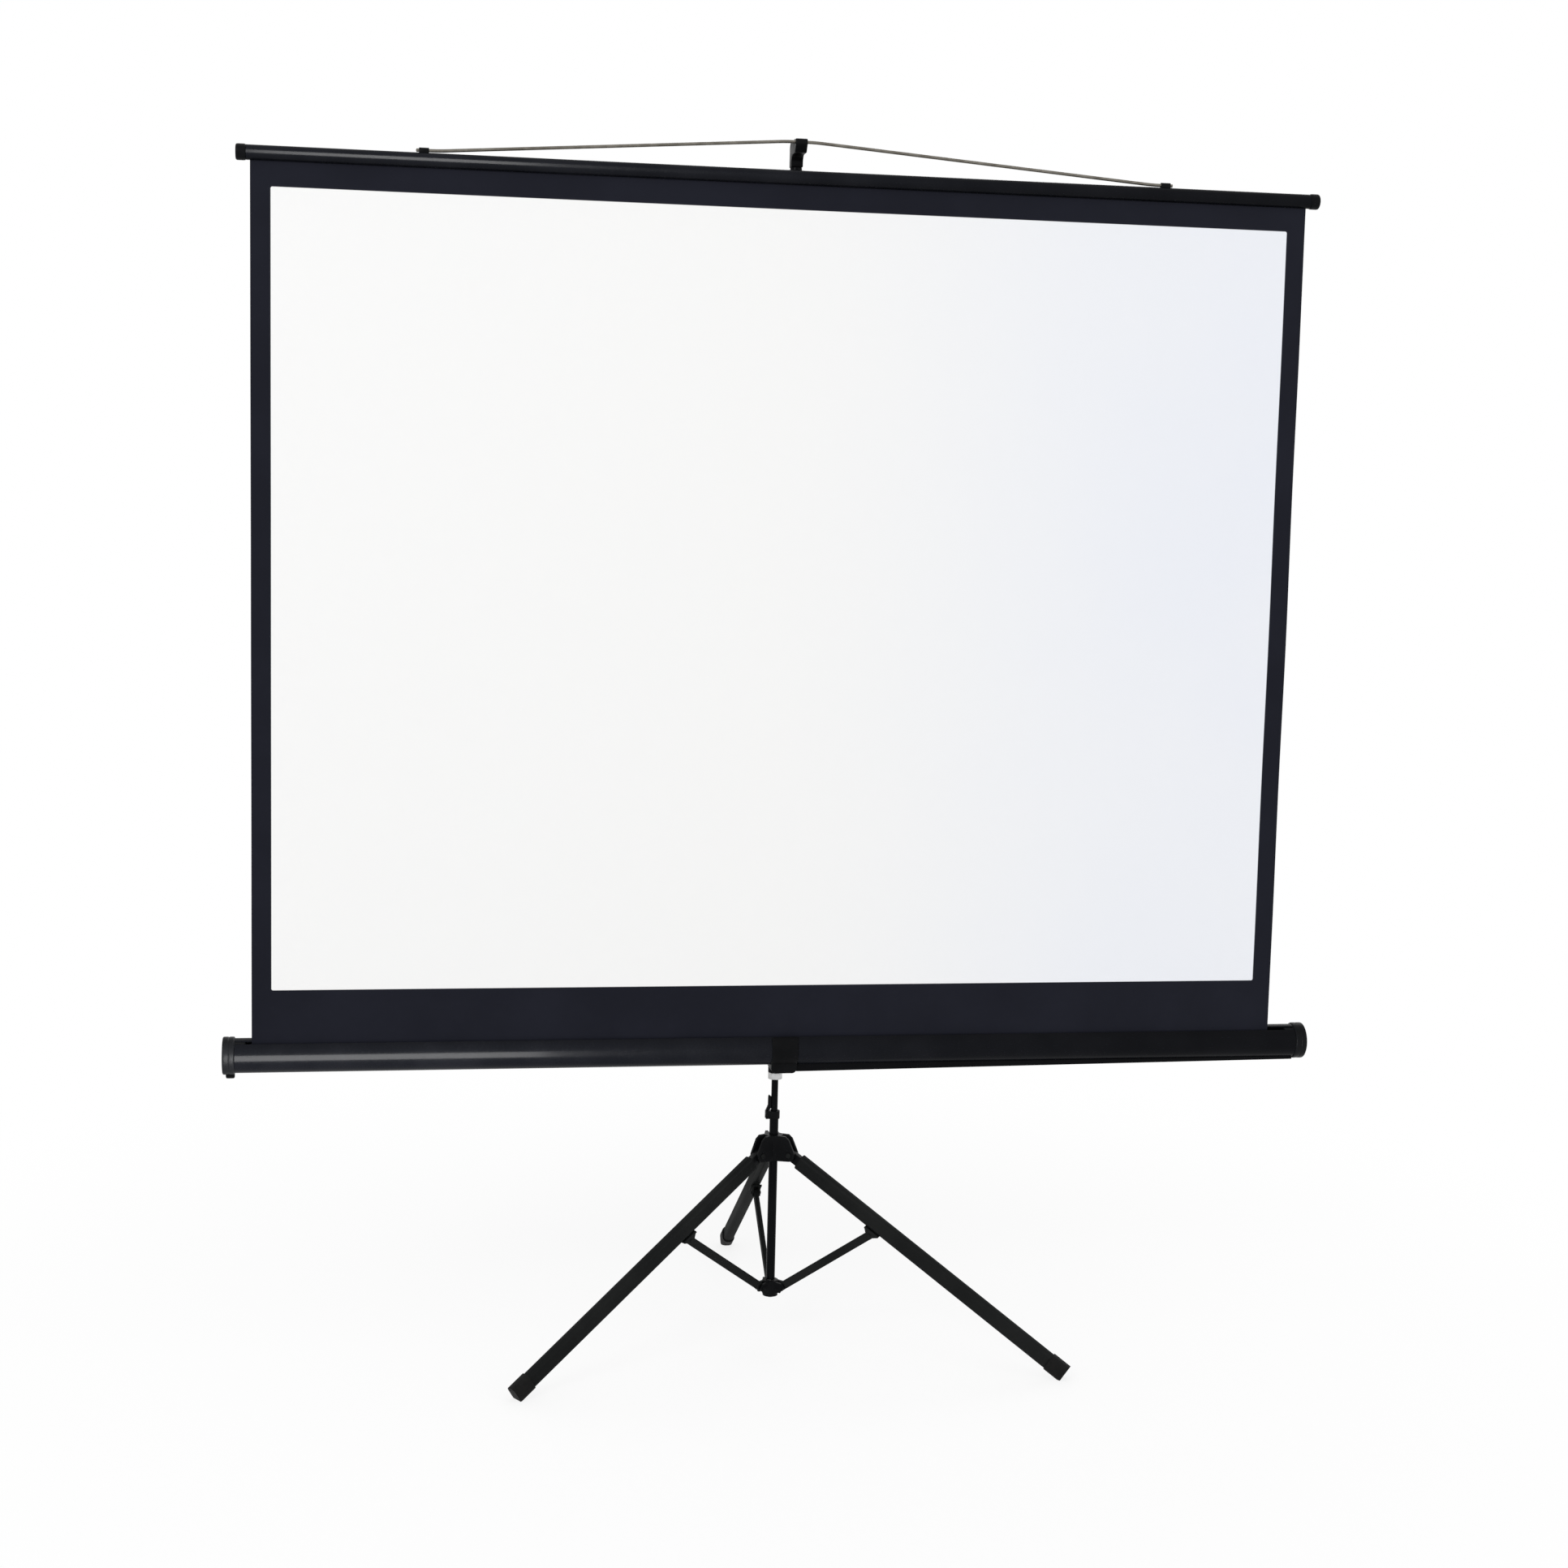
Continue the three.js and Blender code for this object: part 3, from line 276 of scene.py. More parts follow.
def carried(name, outline, start, end, side, up, soft):
    """A closed outline of (side, up) points carried from start to end, drawn in by `soft` at both ends and then to
    its middle."""
    run = end - start
    rim = soft / np.linalg.norm(run)
    drawn = 1 - soft / np.abs(outline).max()
    steps = np.array([(0, 0), (0, drawn), (rim, 1), (0.5, 1), (1 - rim, 1), (1, drawn), (1, 0)])
    flat = outline[:, :1] * side + outline[:, 1:] * up
    grid = start + steps[:, 0, None, None] * run + steps[:, 1, None, None] * flat[None]
    return from_grid(name, grid, around=True)


def rounded_box(width, height, corner, steps):
    """A rectangle with quarter-circle corners, as a closed line of points."""
    angle = np.linspace(0, math.pi / 2, steps + 1)
    turns = np.arange(4)[:, None] * math.pi / 2 + angle
    signs = np.array([(1, 1), (-1, 1), (-1, -1), (1, -1)])
    middles = signs * (np.array([width, height]) / 2 - corner)
    points = middles[:, None] + corner * np.stack([np.cos(turns), np.sin(turns)], axis=-1)
    return points.reshape(-1, 2)


def wire(name, path, radius, sides=14):
    """A circle carried along a line of points, square to it; its ends close in a low dome."""
    run = np.gradient(path, axis=0)
    run /= np.linalg.norm(run, axis=1, keepdims=True)
    side = Z - run * (run @ Z)[:, None]
    side /= np.linalg.norm(side, axis=1, keepdims=True)
    across = np.cross(run, side)
    angle = np.linspace(0, math.tau, sides, endpoint=False)
    ring = np.cos(angle)[None, :, None] * side[:, None] + np.sin(angle)[None, :, None] * across[:, None]
    grid = path[:, None] + radius * ring
    first = np.broadcast_to(path[0] - WIRE_DOME * radius * run[0], grid[:1].shape)
    last = np.broadcast_to(path[-1] + WIRE_DOME * radius * run[-1], grid[:1].shape)
    return from_grid(name, np.concatenate([first, grid, last]), around=True)


def open_tube(name, centre, low, high, radius, gap_start, gap_end, lip, wall):
    """A tube along X that is open between two angles: an arc with its edges turned inwards by `lip`, carried along X
    and thickened inwards."""
    angle = np.linspace(gap_end, gap_start + math.tau, ARC_STEPS)
    arc = radius * np.stack([np.cos(angle), np.sin(angle)], axis=-1)
    line = np.concatenate([arc[:1] * (1 - lip / radius), arc, arc[-1:] * (1 - lip / radius)])
    stations = np.linspace(low, high, TUBE_STATIONS)
    grid = np.zeros((len(stations), len(line), 3))
    grid[..., 0] = stations[:, None]
    grid[..., 1:] = centre[1:] + line
    piece = from_grid(name, grid, outward=False)
    thickened(piece, wall, offset=-1).use_even_offset = True
    return piece


def thickened(piece, thickness, offset):
    """A wall on a surface: inwards for an offset of -1, to both sides for 0."""
    solidify = piece.modifiers.new("wall", "SOLIDIFY")
    solidify.thickness = thickness
    solidify.offset = offset
    return solidify


def softened(node, width):
    """A copy of a solid with shared corners merged, flat facets joined and its hard edges rounded over `width`."""
    mesh = frame["nodes"][node].data.copy()
    work = bmesh.new()
    work.from_mesh(mesh)
    bmesh.ops.remove_doubles(work, verts=work.verts, dist=SOLID_MERGE)
    bmesh.ops.dissolve_limit(
        work, angle_limit=FLAT_FACETS, verts=work.verts, edges=work.edges, use_dissolve_boundaries=False)
    hard = [edge for edge in work.edges if edge.is_manifold and edge.calc_face_angle(0) > SHARP_EDGE]
    bmesh.ops.bevel(
        work, geom=hard, offset=width, offset_type="OFFSET", segments=2, profile=0.5, affect="EDGES",
        clamp_overlap=True)
    bmesh.ops.triangulate(work, faces=[face for face in work.faces if len(face.verts) > 4])
    work.to_mesh(mesh)
    work.free()
    mesh.materials.clear()
    return finished(node + "_soft", mesh)


# Materials


class Nodes:
    """A node tree in the making."""

    def __init__(self, tree):
        self.tree = tree

    def add(self, kind, **settings):
        node = self.tree.nodes.new(kind)
        for key, value in settings.items():
            setattr(node, key, value)
        return node

    def join(self, source, target):
        self.tree.links.new(source, target)

    def calc(self, operation, a, b=0):
        """One step of arithmetic on two sockets or numbers."""
        node = self.add("ShaderNodeMath", operation=operation)
        for socket, value in zip(node.inputs, (a, b)):
            if isinstance(value, (int, float)):
                socket.default_value = value
            else:
                self.join(value, socket)
        return node.outputs["Value"]

    def between(self, value, low, high, to_low=0, to_high=1):
        """A smooth step from to_low to to_high as the value goes from low to high."""
        span = self.add("ShaderNodeMapRange", interpolation_type="SMOOTHSTEP")
        for key, number in zip(("From Min", "From Max", "To Min", "To Max"), (low, high, to_low, to_high)):
            span.inputs[key].default_value = number
        self.join(value, span.inputs["Value"])
        return span.outputs["Result"]

    def seen(self):
        """1 for rays from the camera, from gloss and through glass, else 0: the largest of the three."""
        rays = self.add("ShaderNodeLightPath").outputs
        glossy = self.calc("MAXIMUM", rays["Is Camera Ray"], rays["Is Glossy Ray"])
        return self.calc("MAXIMUM", glossy, rays["Is Transmission Ray"])

    def blend(self, share, first, second, out):
        """Two shaders mixed by a share into the tree's output."""
        mix = self.add("ShaderNodeMixShader")
        self.join(share, mix.inputs["Fac"])
        self.join(first.outputs[0], mix.inputs[1])
        self.join(second.outputs[0], mix.inputs[2])
        self.join(mix.outputs["Shader"], self.add(out).inputs["Surface"])


class Finish(Nodes):
    """A material with one Principled surface, whose patterns lie in the piece's own coordinates."""

    def __init__(self, name, **surface):
        self.material = bpy.data.materials.new(name)
        self.material.use_nodes = True
        super().__init__(self.material.node_tree)
        self.surface = self.tree.nodes["Principled BSDF"]
        for key, value in surface.items():
            self.surface.inputs[key.replace("_", " ")].default_value = value
        self.place = self.add("ShaderNodeTexCoord").outputs["Object"]

    def noise(self, scale, detail, rough=0.5, stretch=(1, 1, 1)):
        mapping = self.add("ShaderNodeMapping")
        mapping.inputs["Scale"].default_value = stretch
        self.join(self.place, mapping.inputs["Vector"])
        noise = self.add("ShaderNodeTexNoise")
        noise.inputs["Scale"].default_value = scale
        noise.inputs["Detail"].default_value = detail
        noise.inputs["Roughness"].default_value = rough
        self.join(mapping.outputs["Vector"], noise.inputs["Vector"])
        return noise.outputs["Fac"]

    def colour(self, amount, low, high):
        """A mix of two colours, each three numbers or a socket."""
        mix = self.add("ShaderNodeMix", data_type="RGBA")
        self.join(amount, mix.inputs[MIX_SHARE])
        for socket, value in ((mix.inputs[MIX_LOW], low), (mix.inputs[MIX_HIGH], high)):
            if isinstance(value, tuple):
                socket.default_value = (*value, 1)
            else:
                self.join(value, socket)
        return mix.outputs[MIX_RESULT]

    def paint(self, socket, value):
        self.join(value, self.surface.inputs[socket])

    def bump(self, height, strength, distance):
        node = self.add("ShaderNodeBump")
        node.inputs["Strength"].default_value = strength
        node.inputs["Distance"].default_value = distance
        self.join(height, node.inputs["Height"])
        self.paint("Normal", node.outputs["Normal"])


def enamel(name, dark, light, rough, specular, coat, coat_rough):
    """Stoved enamel on steel: orange peel, faint cloudiness, dust and fine rub marks."""
    finish = Finish(name, Specular_IOR_Level=specular, Coat_Weight=coat, Coat_Roughness=coat_rough)
    cloud = finish.between(finish.noise(scale=9, detail=4), 0.35, 0.7)
    finish.paint("Base Color", finish.colour(cloud, dark, light))
    rubs = finish.between(finish.noise(scale=45, detail=5, rough=0.6, stretch=(0.12, 1, 1)), 0.55, 0.8, 0, 0.14)
    dust = finish.between(finish.noise(scale=160, detail=6, rough=0.65), 0.5, 0.75, rough, rough + 0.1)
    finish.paint("Roughness", finish.calc("ADD", rubs, dust))
    finish.bump(finish.noise(scale=240, detail=2), strength=0.02, distance=0.0001)
    return finish.material


def moulding(name, dark, light, rough):
    """Moulded black plastic: fine spark-eroded grain and slightly shiny patches where it is handled."""
    finish = Finish(name, Specular_IOR_Level=0.06)
    wear = finish.noise(scale=28, detail=4)
    finish.paint("Base Color", finish.colour(finish.between(wear, 0.35, 0.7), dark, light))
    finish.paint("Roughness", finish.between(wear, 0.3, 0.72, rough + 0.08, rough - 0.1))
    finish.bump(finish.noise(scale=1900, detail=2, rough=0.7), strength=0.16, distance=0.00015)
    return finish.material


def rubber(name, dark, light):
    """Black rubber with a floor-dusted, uneven matt skin."""
    finish = Finish(name, Specular_IOR_Level=0.1)
    dust = finish.between(finish.noise(scale=70, detail=6, rough=0.7), 0.42, 0.75)
    finish.paint("Base Color", finish.colour(dust, dark, light))
    finish.paint("Roughness", finish.between(dust, 0, 1, 0.62, 0.86))
    finish.bump(finish.noise(scale=900, detail=3, rough=0.7), strength=0.3, distance=0.0004)
    return finish.material


def plated(name, dark, light, rough, stretch):
    """Bright metal: fine drawn lines along the work and a slightly clouded plating."""
    finish = Finish(name, Metallic=1.0)
    lines = finish.noise(scale=900, detail=3, rough=0.6, stretch=stretch)
    cloud = finish.between(finish.noise(scale=60, detail=4), 0.3, 0.7)
    finish.paint("Base Color", finish.colour(cloud, dark, light))
    finish.paint("Roughness", finish.between(lines, 0.3, 0.7, rough - 0.07, rough + 0.1))
    finish.bump(lines, strength=0.08, distance=0.0002)
    return finish.material


def weave(finish):
    """A plain weave: the product of two sine waves across the cloth's own UV. Also gives that UV's two parts."""
    split = finish.add("ShaderNodeSeparateXYZ")
    finish.join(finish.add("ShaderNodeUVMap", uv_map="cloth").outputs["UV"], split.inputs["Vector"])
    across = split.outputs[:2]
    waves = [finish.calc("SINE", finish.calc("MULTIPLY", part, n * math.tau)) for part, n in zip(across, THREADS)]
    return across, finish.calc("MULTIPLY", *waves)


def picture_cloth(name, size, picture_low):
    """White matt picture cloth with a printed dark border: inside the rounded rectangle of the picture it is white,
    with painted shade that darkens it and turns it bluish towards the right.
    """
    finish = Finish(name, Specular_IOR_Level=0.12, Sheen_Weight=0.02, Sheen_Roughness=0.5)
    across, threads = weave(finish)
    squares = []
    for part, scale, low, length in zip(across, size, (SIDE_BORDER, picture_low), PICTURE):
        place = finish.calc("MULTIPLY", part, scale)
        offset = finish.calc("ABSOLUTE", finish.calc("SUBTRACT", place, low + length / 2))
        past = finish.calc("MAXIMUM", finish.calc("SUBTRACT", offset, length / 2 - PICTURE_CORNER), 0)
        squares.append(finish.calc("MULTIPLY", past, past))
    reach = finish.calc("SQRT", finish.calc("ADD", *squares))
    border = finish.between(reach, PICTURE_CORNER - PRINT_BLUR, PICTURE_CORNER + PRINT_BLUR)
    # Painted shade: towards the right the white is darkened and tinted bluish, broken up by cloudy noise, as the light
    # from the left falls off.
    painted_shade_right = finish.between(across[0], 0.45, 1.0)
    cloud = finish.calc("MULTIPLY", painted_shade_right, finish.between(finish.noise(scale=1.6, detail=3), 0.2, 0.75, 0.6, 1))
    white = finish.colour(cloud, (0.93, 0.93, 0.925), (0.84, 0.865, 0.93))
    fade = finish.between(finish.noise(scale=7, detail=5), 0.3, 0.75)
    dark = finish.colour(fade, (0.0068, 0.0076, 0.0138), (0.0094, 0.0104, 0.0180))
    finish.paint("Base Color", finish.colour(border, white, dark))
    finish.paint("Roughness", finish.between(border, 0, 1, 0.88, 0.7))
    finish.bump(threads, strength=0.06, distance=0.0002)
    return finish.material


def backing_cloth(name):
    """The dark coated back of the cloth, with the weave and a faint cloudiness."""
    finish = Finish(name, Specular_IOR_Level=0.2, Sheen_Weight=0.05)
    _, threads = weave(finish)
    cloud = finish.between(finish.noise(scale=5, detail=5, rough=0.6), 0.3, 0.75)
    finish.paint("Base Color", finish.colour(cloud, (0.0125, 0.013, 0.016), (0.0150, 0.0157, 0.019)))
    finish.paint("Roughness", finish.between(cloud, 0, 1, 0.82, 0.7))
    finish.bump(threads, strength=0.1, distance=0.0002)
    return finish.material


cloth_low, cloth_high = corners("screen_fabric")
cloth_size = (cloth_high[0] - cloth_low[0], cloth_high[2] - cloth_low[2])
slat_low, slat_high = corners("slat_tube")
picture_low = slat_low[2] - TOP_BORDER - PICTURE[1] - cloth_low[2]

FINISHES = {
    "black_enamel": enamel(
        "case enamel", dark=(0.0018, 0.0020, 0.0028), light=(0.0030, 0.0032, 0.0042), rough=0.27,
        specular=0.03, coat=0.04, coat_rough=0.12),
    "leg_enamel": enamel(
        "leg enamel", dark=(0.0085, 0.0092, 0.0092), light=(0.0130, 0.0138, 0.0136), rough=0.34,
        specular=0.0, coat=0.10, coat_rough=0.3),
    "black_plastic": moulding(
        "black moulding", dark=(0.0028, 0.0030, 0.0036), light=(0.0050, 0.0053, 0.0061), rough=0.42),
    "rubber": rubber("boot rubber", dark=(0.006, 0.006, 0.006), light=(0.013, 0.0127, 0.012)),
    "zinc": plated(
        "zinc plate", dark=(0.46, 0.46, 0.455), light=(0.62, 0.625, 0.63), rough=0.33, stretch=(1, 1, 0.05)),
    "wire": plated(
        "bail wire", dark=(0.15, 0.138, 0.118), light=(0.22, 0.205, 0.178), rough=0.36, stretch=(0.03, 1, 1)),
    "roller_steel": plated(
        "roller steel", dark=(0.30, 0.305, 0.31), light=(0.40, 0.405, 0.41), rough=0.4, stretch=(0.03, 1, 1)),
    "white_fabric": picture_cloth("picture cloth", cloth_size, picture_low),
    "black_fabric": backing_cloth("cloth backing"),
}

# Every solid starts with the finish of its slot in the record, whether or not a finer piece replaces it.
slot_of = {row["node"]: row["material_slot"] for row in frame["record"]["subparts"]}
body_of = {node: body for body, nodes in frame["record"]["behaviour"]["bodies"].items() for node in nodes}
joints = {joint["name"]: joint for joint in frame["joints"]}
for node, solid in frame["nodes"].items():
    solid.data.materials.clear()
    solid.data.materials.append(FINISHES[slot_of[node]])


def dressed(piece, node, hide=True):
    """Gives a piece the finish and body of the solid it stands for; with `hide` it takes that solid's place."""
    piece.data.materials.append(FINISHES[slot_of[node]])
    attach(piece, body_of[node])
    if hide:
        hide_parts(node)
    return piece


def laid_flat(piece, low, size):
    """Gives a piece the UV map "cloth": ((x - low_x) / size_0, (z - low_z) / size_1)."""
    points = np.empty(len(piece.data.vertices) * 3)
    piece.data.vertices.foreach_get("co", points)
    loops = np.empty(len(piece.data.loops), dtype=np.int32)
    piece.data.loops.foreach_get("vertex_index", loops)
    flat = (points.reshape(-1, 3)[:, [0, 2]] - low[[0, 2]]) / size
    piece.data.uv_layers.new(name="cloth").data.foreach_set("uv", flat[loops].astype(np.float32).ravel())


# Cloth


def ripple(u, v):
    """How far the cloth stands off its plane, as a share of CLOTH_RIPPLE: a slow slanted sine wave, plus a quicker one
    up the side edges, out of step left and right. Both die out at the roller and at the slat."""
    held = np.sin(math.pi * np.clip((v - RIPPLE_FOOT) / RIPPLE_SPAN, 0, 1)) ** RIPPLE_FULLNESS
    edge = np.abs(2 * u - 1) ** EDGE_NARROWNESS
    slow = np.sin(SLOW_WAVE_ACROSS * u + SLOW_WAVE_UP * v)
    quick = np.sin(EDGE_WAVE_UP * v + EDGE_WAVE_STAGGER * np.sign(u - 0.5))
    return held * (slow + EDGE_WAVE_SHARE * edge * quick)


columns, rows = CLOTH_GRID
u, v = np.meshgrid(np.linspace(0, 1, columns), np.linspace(0, 1, rows))
cloth_grid = np.stack([
    cloth_low[0] + u * cloth_size[0],
    (cloth_low[1] + cloth_high[1]) / 2 + CLOTH_RIPPLE * ripple(u, v),
    cloth_low[2] + v * cloth_size[1],
], axis=-1)
cloth = from_grid("picture_cloth", cloth_grid, outward=False)
laid_flat(cloth, cloth_low, cloth_size)
dressed(cloth, "screen_fabric")
cloth.data.materials.append(FINISHES["black_fabric"])
back = thickened(cloth, CLOTH, offset=0)
back.material_offset = 1
back.material_offset_rim = 1

# Turns of cloth left on the roller: a spiral carried along the roller
wrap_low, wrap_high = corners("fabric_wraps")
roll_axis = middle("roller_tube")
turn = np.linspace(0, WRAP_ANGLE, WRAP_STEPS)
wrap_radius = (wrap_high[2] - wrap_low[2]) / 2 - WRAP_SKIN - WRAP_CLIMB * (1 - turn / WRAP_ANGLE)
wrap_grid = np.zeros((2, len(turn), 3))
wrap_grid[..., 0] = np.array([wrap_low[0], wrap_high[0]])[:, None]
wrap_grid[..., 1] = roll_axis[1] + wrap_radius * np.cos(turn)
wrap_grid[..., 2] = roll_axis[2] + wrap_radius * np.sin(turn)
roll = from_grid("cloth_roll", wrap_grid, outward=False)
laid_flat(roll, wrap_low, cloth_size)
thickened(roll, WRAP_CLOTH, offset=0)
dressed(roll, "fabric_wraps")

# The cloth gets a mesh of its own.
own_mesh(cloth)

# Case: the slot sits over the front of the roller, where the cloth leaves it.
case_low, case_high = corners("case_tube")
case_radius = (case_high[1] - case_low[1]) / 2
cloth_y = (cloth_low[1] + cloth_high[1]) / 2 - roll_axis[1]
gap_start = math.acos((cloth_y + CASE_SLOT / 2) / case_radius)
gap_end = math.acos((cloth_y - CASE_SLOT / 2) / case_radius)
case = open_tube(
    "case_shell", roll_axis, case_low[0], case_high[0], case_radius, gap_start, gap_end, CASE_LIP, CASE_WALL)
dressed(case, "case_tube")


def case_cap(name, node, outward):
    """End cap, turned about the case's axis: a drum with a softly rounded rim, a groove round it, a shallow dish with
    a boss in its face, and a plug in the case."""
    low, high = corners(node)
    seat = case_high[0] + GAP
    length = max(abs(low[0]), abs(high[0])) - seat
    radius = (high[1] - low[1]) / 2
    plug = case_radius - CASE_WALL - CAP_PLUG_ROOM
    heights = (radius, radius - CAP_GROOVE, radius - CAP_GROOVE, radius)
    depths = (length, length - CAP_DISH, length - CAP_DISH, length - CAP_BOSS_DROP)
    line = [(0, -CAP_PLUG), (plug, -CAP_PLUG), (plug, 0), (radius, 0)]
    line += [(height, share * length) for height, share in zip(heights, CAP_GROOVE_SHARES)]
    line += [(radius, length)]
    line += [(share * radius, depth) for depth, share in zip(depths, CAP_DISH_SHARES)]
    line += [(0, length - CAP_BOSS_DROP)]
    profile = filleted(line, CAP_RIM) * (1, outward)
    return turned(name, profile, "x", (outward * seat, roll_axis[1], roll_axis[2]), sides=72)


case_caps = [
    dressed(case_cap("left_end_cap", "case_cap_left", -1), "case_cap_left"),
    dressed(case_cap("right_end_cap", "case_cap_right", 1), "case_cap_right"),
]

# Foot of the left cap: a small round lobe under it
cap_low, _ = corners("case_cap_left")
foot_line = [(0, 0), (CAP_FOOT_RADIUS, 0), (CAP_FOOT_RADIUS, CAP_FOOT_LENGTH), (0, CAP_FOOT_LENGTH)]
foot_start = -case_high[0] - CAP_FOOT_GAP - CAP_FOOT_LENGTH
foot_place = (foot_start, roll_axis[1], cap_low[2] + CAP_FOOT_RADIUS)
cap_foot = turned("left_cap_foot", filleted(foot_line, CAP_FOOT_RIM), "x", foot_place, sides=40)
dressed(cap_foot, "case_cap_left", hide=False)

# Slat: slit along its underside for the cloth, with a domed cap in each end
slat_axis = middle("slat_cap_left")
slat_radius = (slat_high[1] - slat_low[1]) / 2
slit = math.asin(SLAT_SLIT / 2 / slat_radius)
slat = open_tube(
    "top_slat", slat_axis, slat_low[0], slat_high[0], slat_radius, -math.pi / 2 - slit, -math.pi / 2 + slit,
    SLAT_LIP, SLAT_WALL)
dressed(slat, "slat_tube")
for side, node, end in ((-1, "slat_cap_left", slat_low), (1, "slat_cap_right", slat_high)):
    low, high = corners(node)
    radius = (high[1] - low[1]) / 2
    start = end[0] + side * GAP
    length = start - low[0] if side < 0 else high[0] - start
    plug = slat_radius - SLAT_WALL - SLAT_PLUG_ROOM
    line = [
        (0, -SLAT_PLUG), (plug, -SLAT_PLUG), (plug, 0), (radius, 0),
        (radius, length), (radius / 2, length), (0, length),
    ]
    profile = filleted(line, SLAT_CAP_RIM) * (1, side)
    dressed(turned(f"{node}_round", profile, "x", (start, slat_axis[1], slat_axis[2]), sides=56), node)

# Round tubes of the stand, the mast and the roller
for node, wall in TUBE_WALLS.items():
    dressed(tube(node, "z", wall), node)
dressed(tube("roller_tube", "x", ROLLER_WALL), "roller_tube")

# Legs: rounded-rectangular tubes with a fine rolled groove along each flank, a bell curve across it
leg_outline = rounded_box(LEG_WIDTH, LEG_HEIGHT, LEG_CORNER, LEG_CORNER_STEPS)
groove = np.exp(-(((leg_outline[:, 1] - LEG_GROOVE_HEIGHT) / LEG_GROOVE_SPREAD) ** 2))
leg_outline[:, 0] -= np.sign(leg_outline[:, 0]) * LEG_GROOVE * groove
for leg, degrees in LEGS.items():
    outwards = np.array([math.cos(math.radians(degrees)), math.sin(math.radians(degrees)), 0])
    along = math.sin(LEG_SPREAD) * outwards - math.cos(LEG_SPREAD) * Z
    above = math.cos(LEG_SPREAD) * outwards + math.sin(LEG_SPREAD) * Z
    pivot = np.array(joints[f"leg_{leg}_hinge"]["pos_m"])
    start = pivot + LEG_START * along
    end = pivot + LEG_END * along
    shank = carried(f"leg_{leg}_tube", leg_outline, start, end, np.cross(Z, outwards), above, LEG_RIM)
    dressed(shank, f"leg_{leg}")

# Bail: the wire runs level through its clips, bends up to the hook and crosses its notch level.
bail_low, bail_high = corners("bail")
_, hook_high = corners("hook")
clip = middle("bail_clip_right")
bail_foot = np.array([clip[0] - BAIL_RISE_INSIDE_CLIP, slat_axis[1], bail_low[2] + BAIL_WIRE])
bail_peak = np.array([hook_high[0] + BAIL_LEVEL_PAST_HOOK, bail_high[1] - BAIL_WIRE, bail_high[2] - BAIL_WIRE])
bail_end = np.array([bail_high[0], bail_foot[1], bail_foot[2]])
half = filleted([bail_end, bail_foot, bail_peak, bail_peak * (0, 1, 1)], BAIL_BEND, BAIL_BEND_STEPS)
path = np.concatenate([half, half[-2::-1] * (-1, 1, 1)])
dressed(wire("bail_wire", path, BAIL_WIRE), "bail")

# Moulded and pressed pieces
for leg in LEGS:
    SOFT_EDGES.update({f"{kind}_{leg}": width for kind, width in LEG_SOFT_EDGES.items()})
for node, width in SOFT_EDGES.items():
    dressed(softened(node, width), node)

# Studio: a floor that is white in view but for the part's shadow, which fades out with distance
floor_mesh = bpy.data.meshes.new("floor")
floor_corners = FLOOR_HALF * np.array([(-1, -1, 0), (1, -1, 0), (1, 1, 0), (-1, 1, 0)])
floor_mesh.from_pydata(floor_corners.tolist(), [], [(0, 1, 2, 3)])
floor = bpy.data.objects.new("floor", floor_mesh)
bpy.context.collection.objects.link(floor)
floor_paint = bpy.data.materials.new("pale floor")
floor_paint.use_nodes = True
floor_paint.node_tree.nodes.clear()
floor_mesh.materials.append(floor_paint)

ground = Nodes(floor_paint.node_tree)
matt = ground.add("ShaderNodeBsdfDiffuse")
matt.inputs["Color"].default_value = FLOOR_COLOUR
distance = ground.add("ShaderNodeVectorMath", operation="LENGTH")
ground.join(ground.add("ShaderNodeTexCoord").outputs["Object"], distance.inputs[0])
fade = ground.between(distance.outputs["Value"], GLOW_START, GLOW_END, GLOW_NEAR, GLOW_FAR)
share = ground.calc("MULTIPLY", ground.seen(), fade)
ground.blend(share, matt, ground.add("ShaderNodeEmission"), "ShaderNodeOutputMaterial")

world = bpy.data.worlds.new("studio")
bpy.context.scene.world = world
world.use_nodes = True
world.node_tree.nodes.clear()
studio = Nodes(world.node_tree)
skies = [studio.add("ShaderNodeBackground") for _ in range(2)]
for sky, strength in zip(skies, (SKY_STRENGTH, BACKDROP_STRENGTH)):
    sky.inputs["Color"].default_value = WHITE
    sky.inputs["Strength"].default_value = strength
studio.blend(studio.seen(), *skies, "ShaderNodeOutputWorld")


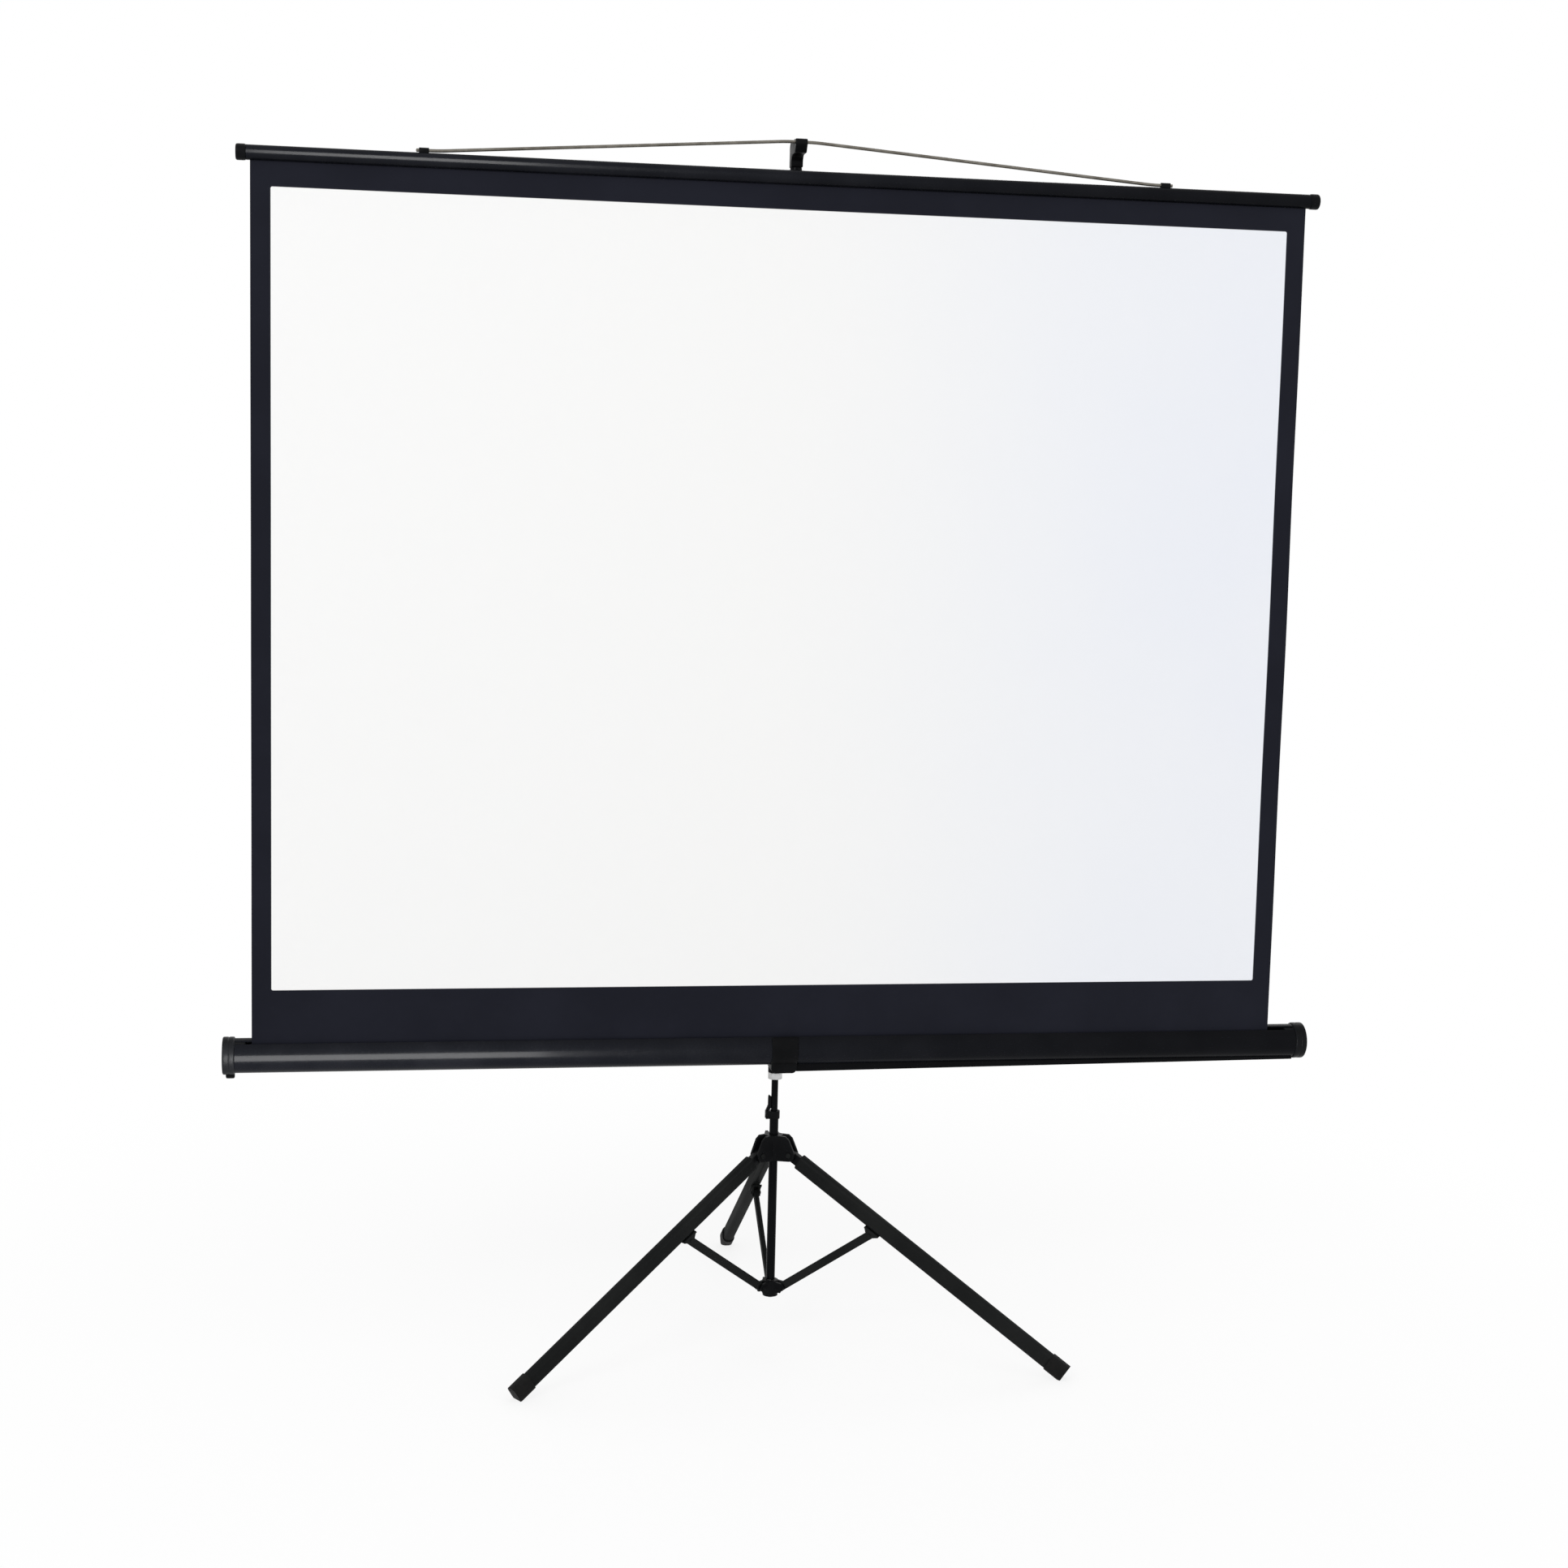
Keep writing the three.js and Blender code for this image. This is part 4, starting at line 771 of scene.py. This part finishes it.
def placed(name, data, side, up, back, place):
    """An object whose own X, Y and Z axes point along side, up and back, at a place."""
    turn = np.eye(4)
    turn[:3] = np.column_stack([side, up, back, place])
    holder = bpy.data.objects.new(name, data)
    bpy.context.collection.objects.link(holder)
    holder.matrix_world = Matrix(turn.tolist())
    return holder


def softbox(name, place, target, size, watts, lit=()):
    """A rectangular lamp at a place, facing a target; with `lit` it lights only those pieces."""
    lamp = bpy.data.lights.new(name, "AREA")
    lamp.shape = "RECTANGLE"
    lamp.size, lamp.size_y = size
    lamp.energy = watts
    away = np.subtract(place, target)
    away /= np.linalg.norm(away)
    side = np.cross(Z, away)
    side /= np.linalg.norm(side)
    holder = placed(name, lamp, side, np.cross(away, side), away, place)
    holder.visible_camera = False
    if lit:
        receivers = bpy.data.collections.new(name + " lights")
        for piece in lit:
            receivers.objects.link(piece)
        holder.light_linking.receiver_collection = receivers


softbox("key", place=(-3.4, -4.6, 4.2), target=(0, 0, 1.1), size=(2.2, 1.6), watts=80)
softbox("fill", place=(4.2, -3.6, 2.6), target=(0, 0, 1.1), size=(2.0, 2.0), watts=18)
softbox("back", place=(1.5, 4.5, 4.0), target=(0, 0, 1.0), size=(3.0, 2.0), watts=50)
softbox(
    "case_sheen", place=(-0.74, -1.25, 0.36), target=(-0.74, -0.2, 0.50), size=(0.8, 0.7), watts=68,
    lit=[case, *case_caps])
softbox(
    "slat_sheen", place=(-0.66, -1.6, 2.25), target=(-0.66, -0.2, 2.0), size=(0.6, 1.1), watts=80, lit=[slat])

# Camera
ahead = np.array([math.sin(YAW) * math.cos(PITCH), math.cos(YAW) * math.cos(PITCH), math.sin(PITCH)])
level = np.array([math.cos(YAW), -math.sin(YAW), 0])
over = np.cross(level, ahead)
right = math.cos(ROLL) * level + math.sin(ROLL) * over
upward = math.cos(ROLL) * over - math.sin(ROLL) * level
lens = bpy.data.cameras.new("camera")
lens.sensor_fit = "HORIZONTAL"
lens.sensor_width = SENSOR
lens.lens = SENSOR * FOCAL_PIXELS / FRAME_PIXELS
bpy.context.scene.camera = placed("camera", lens, right, upward, -ahead, CAMERA_PLACE)
bpy.context.scene.view_settings.view_transform = "Standard"
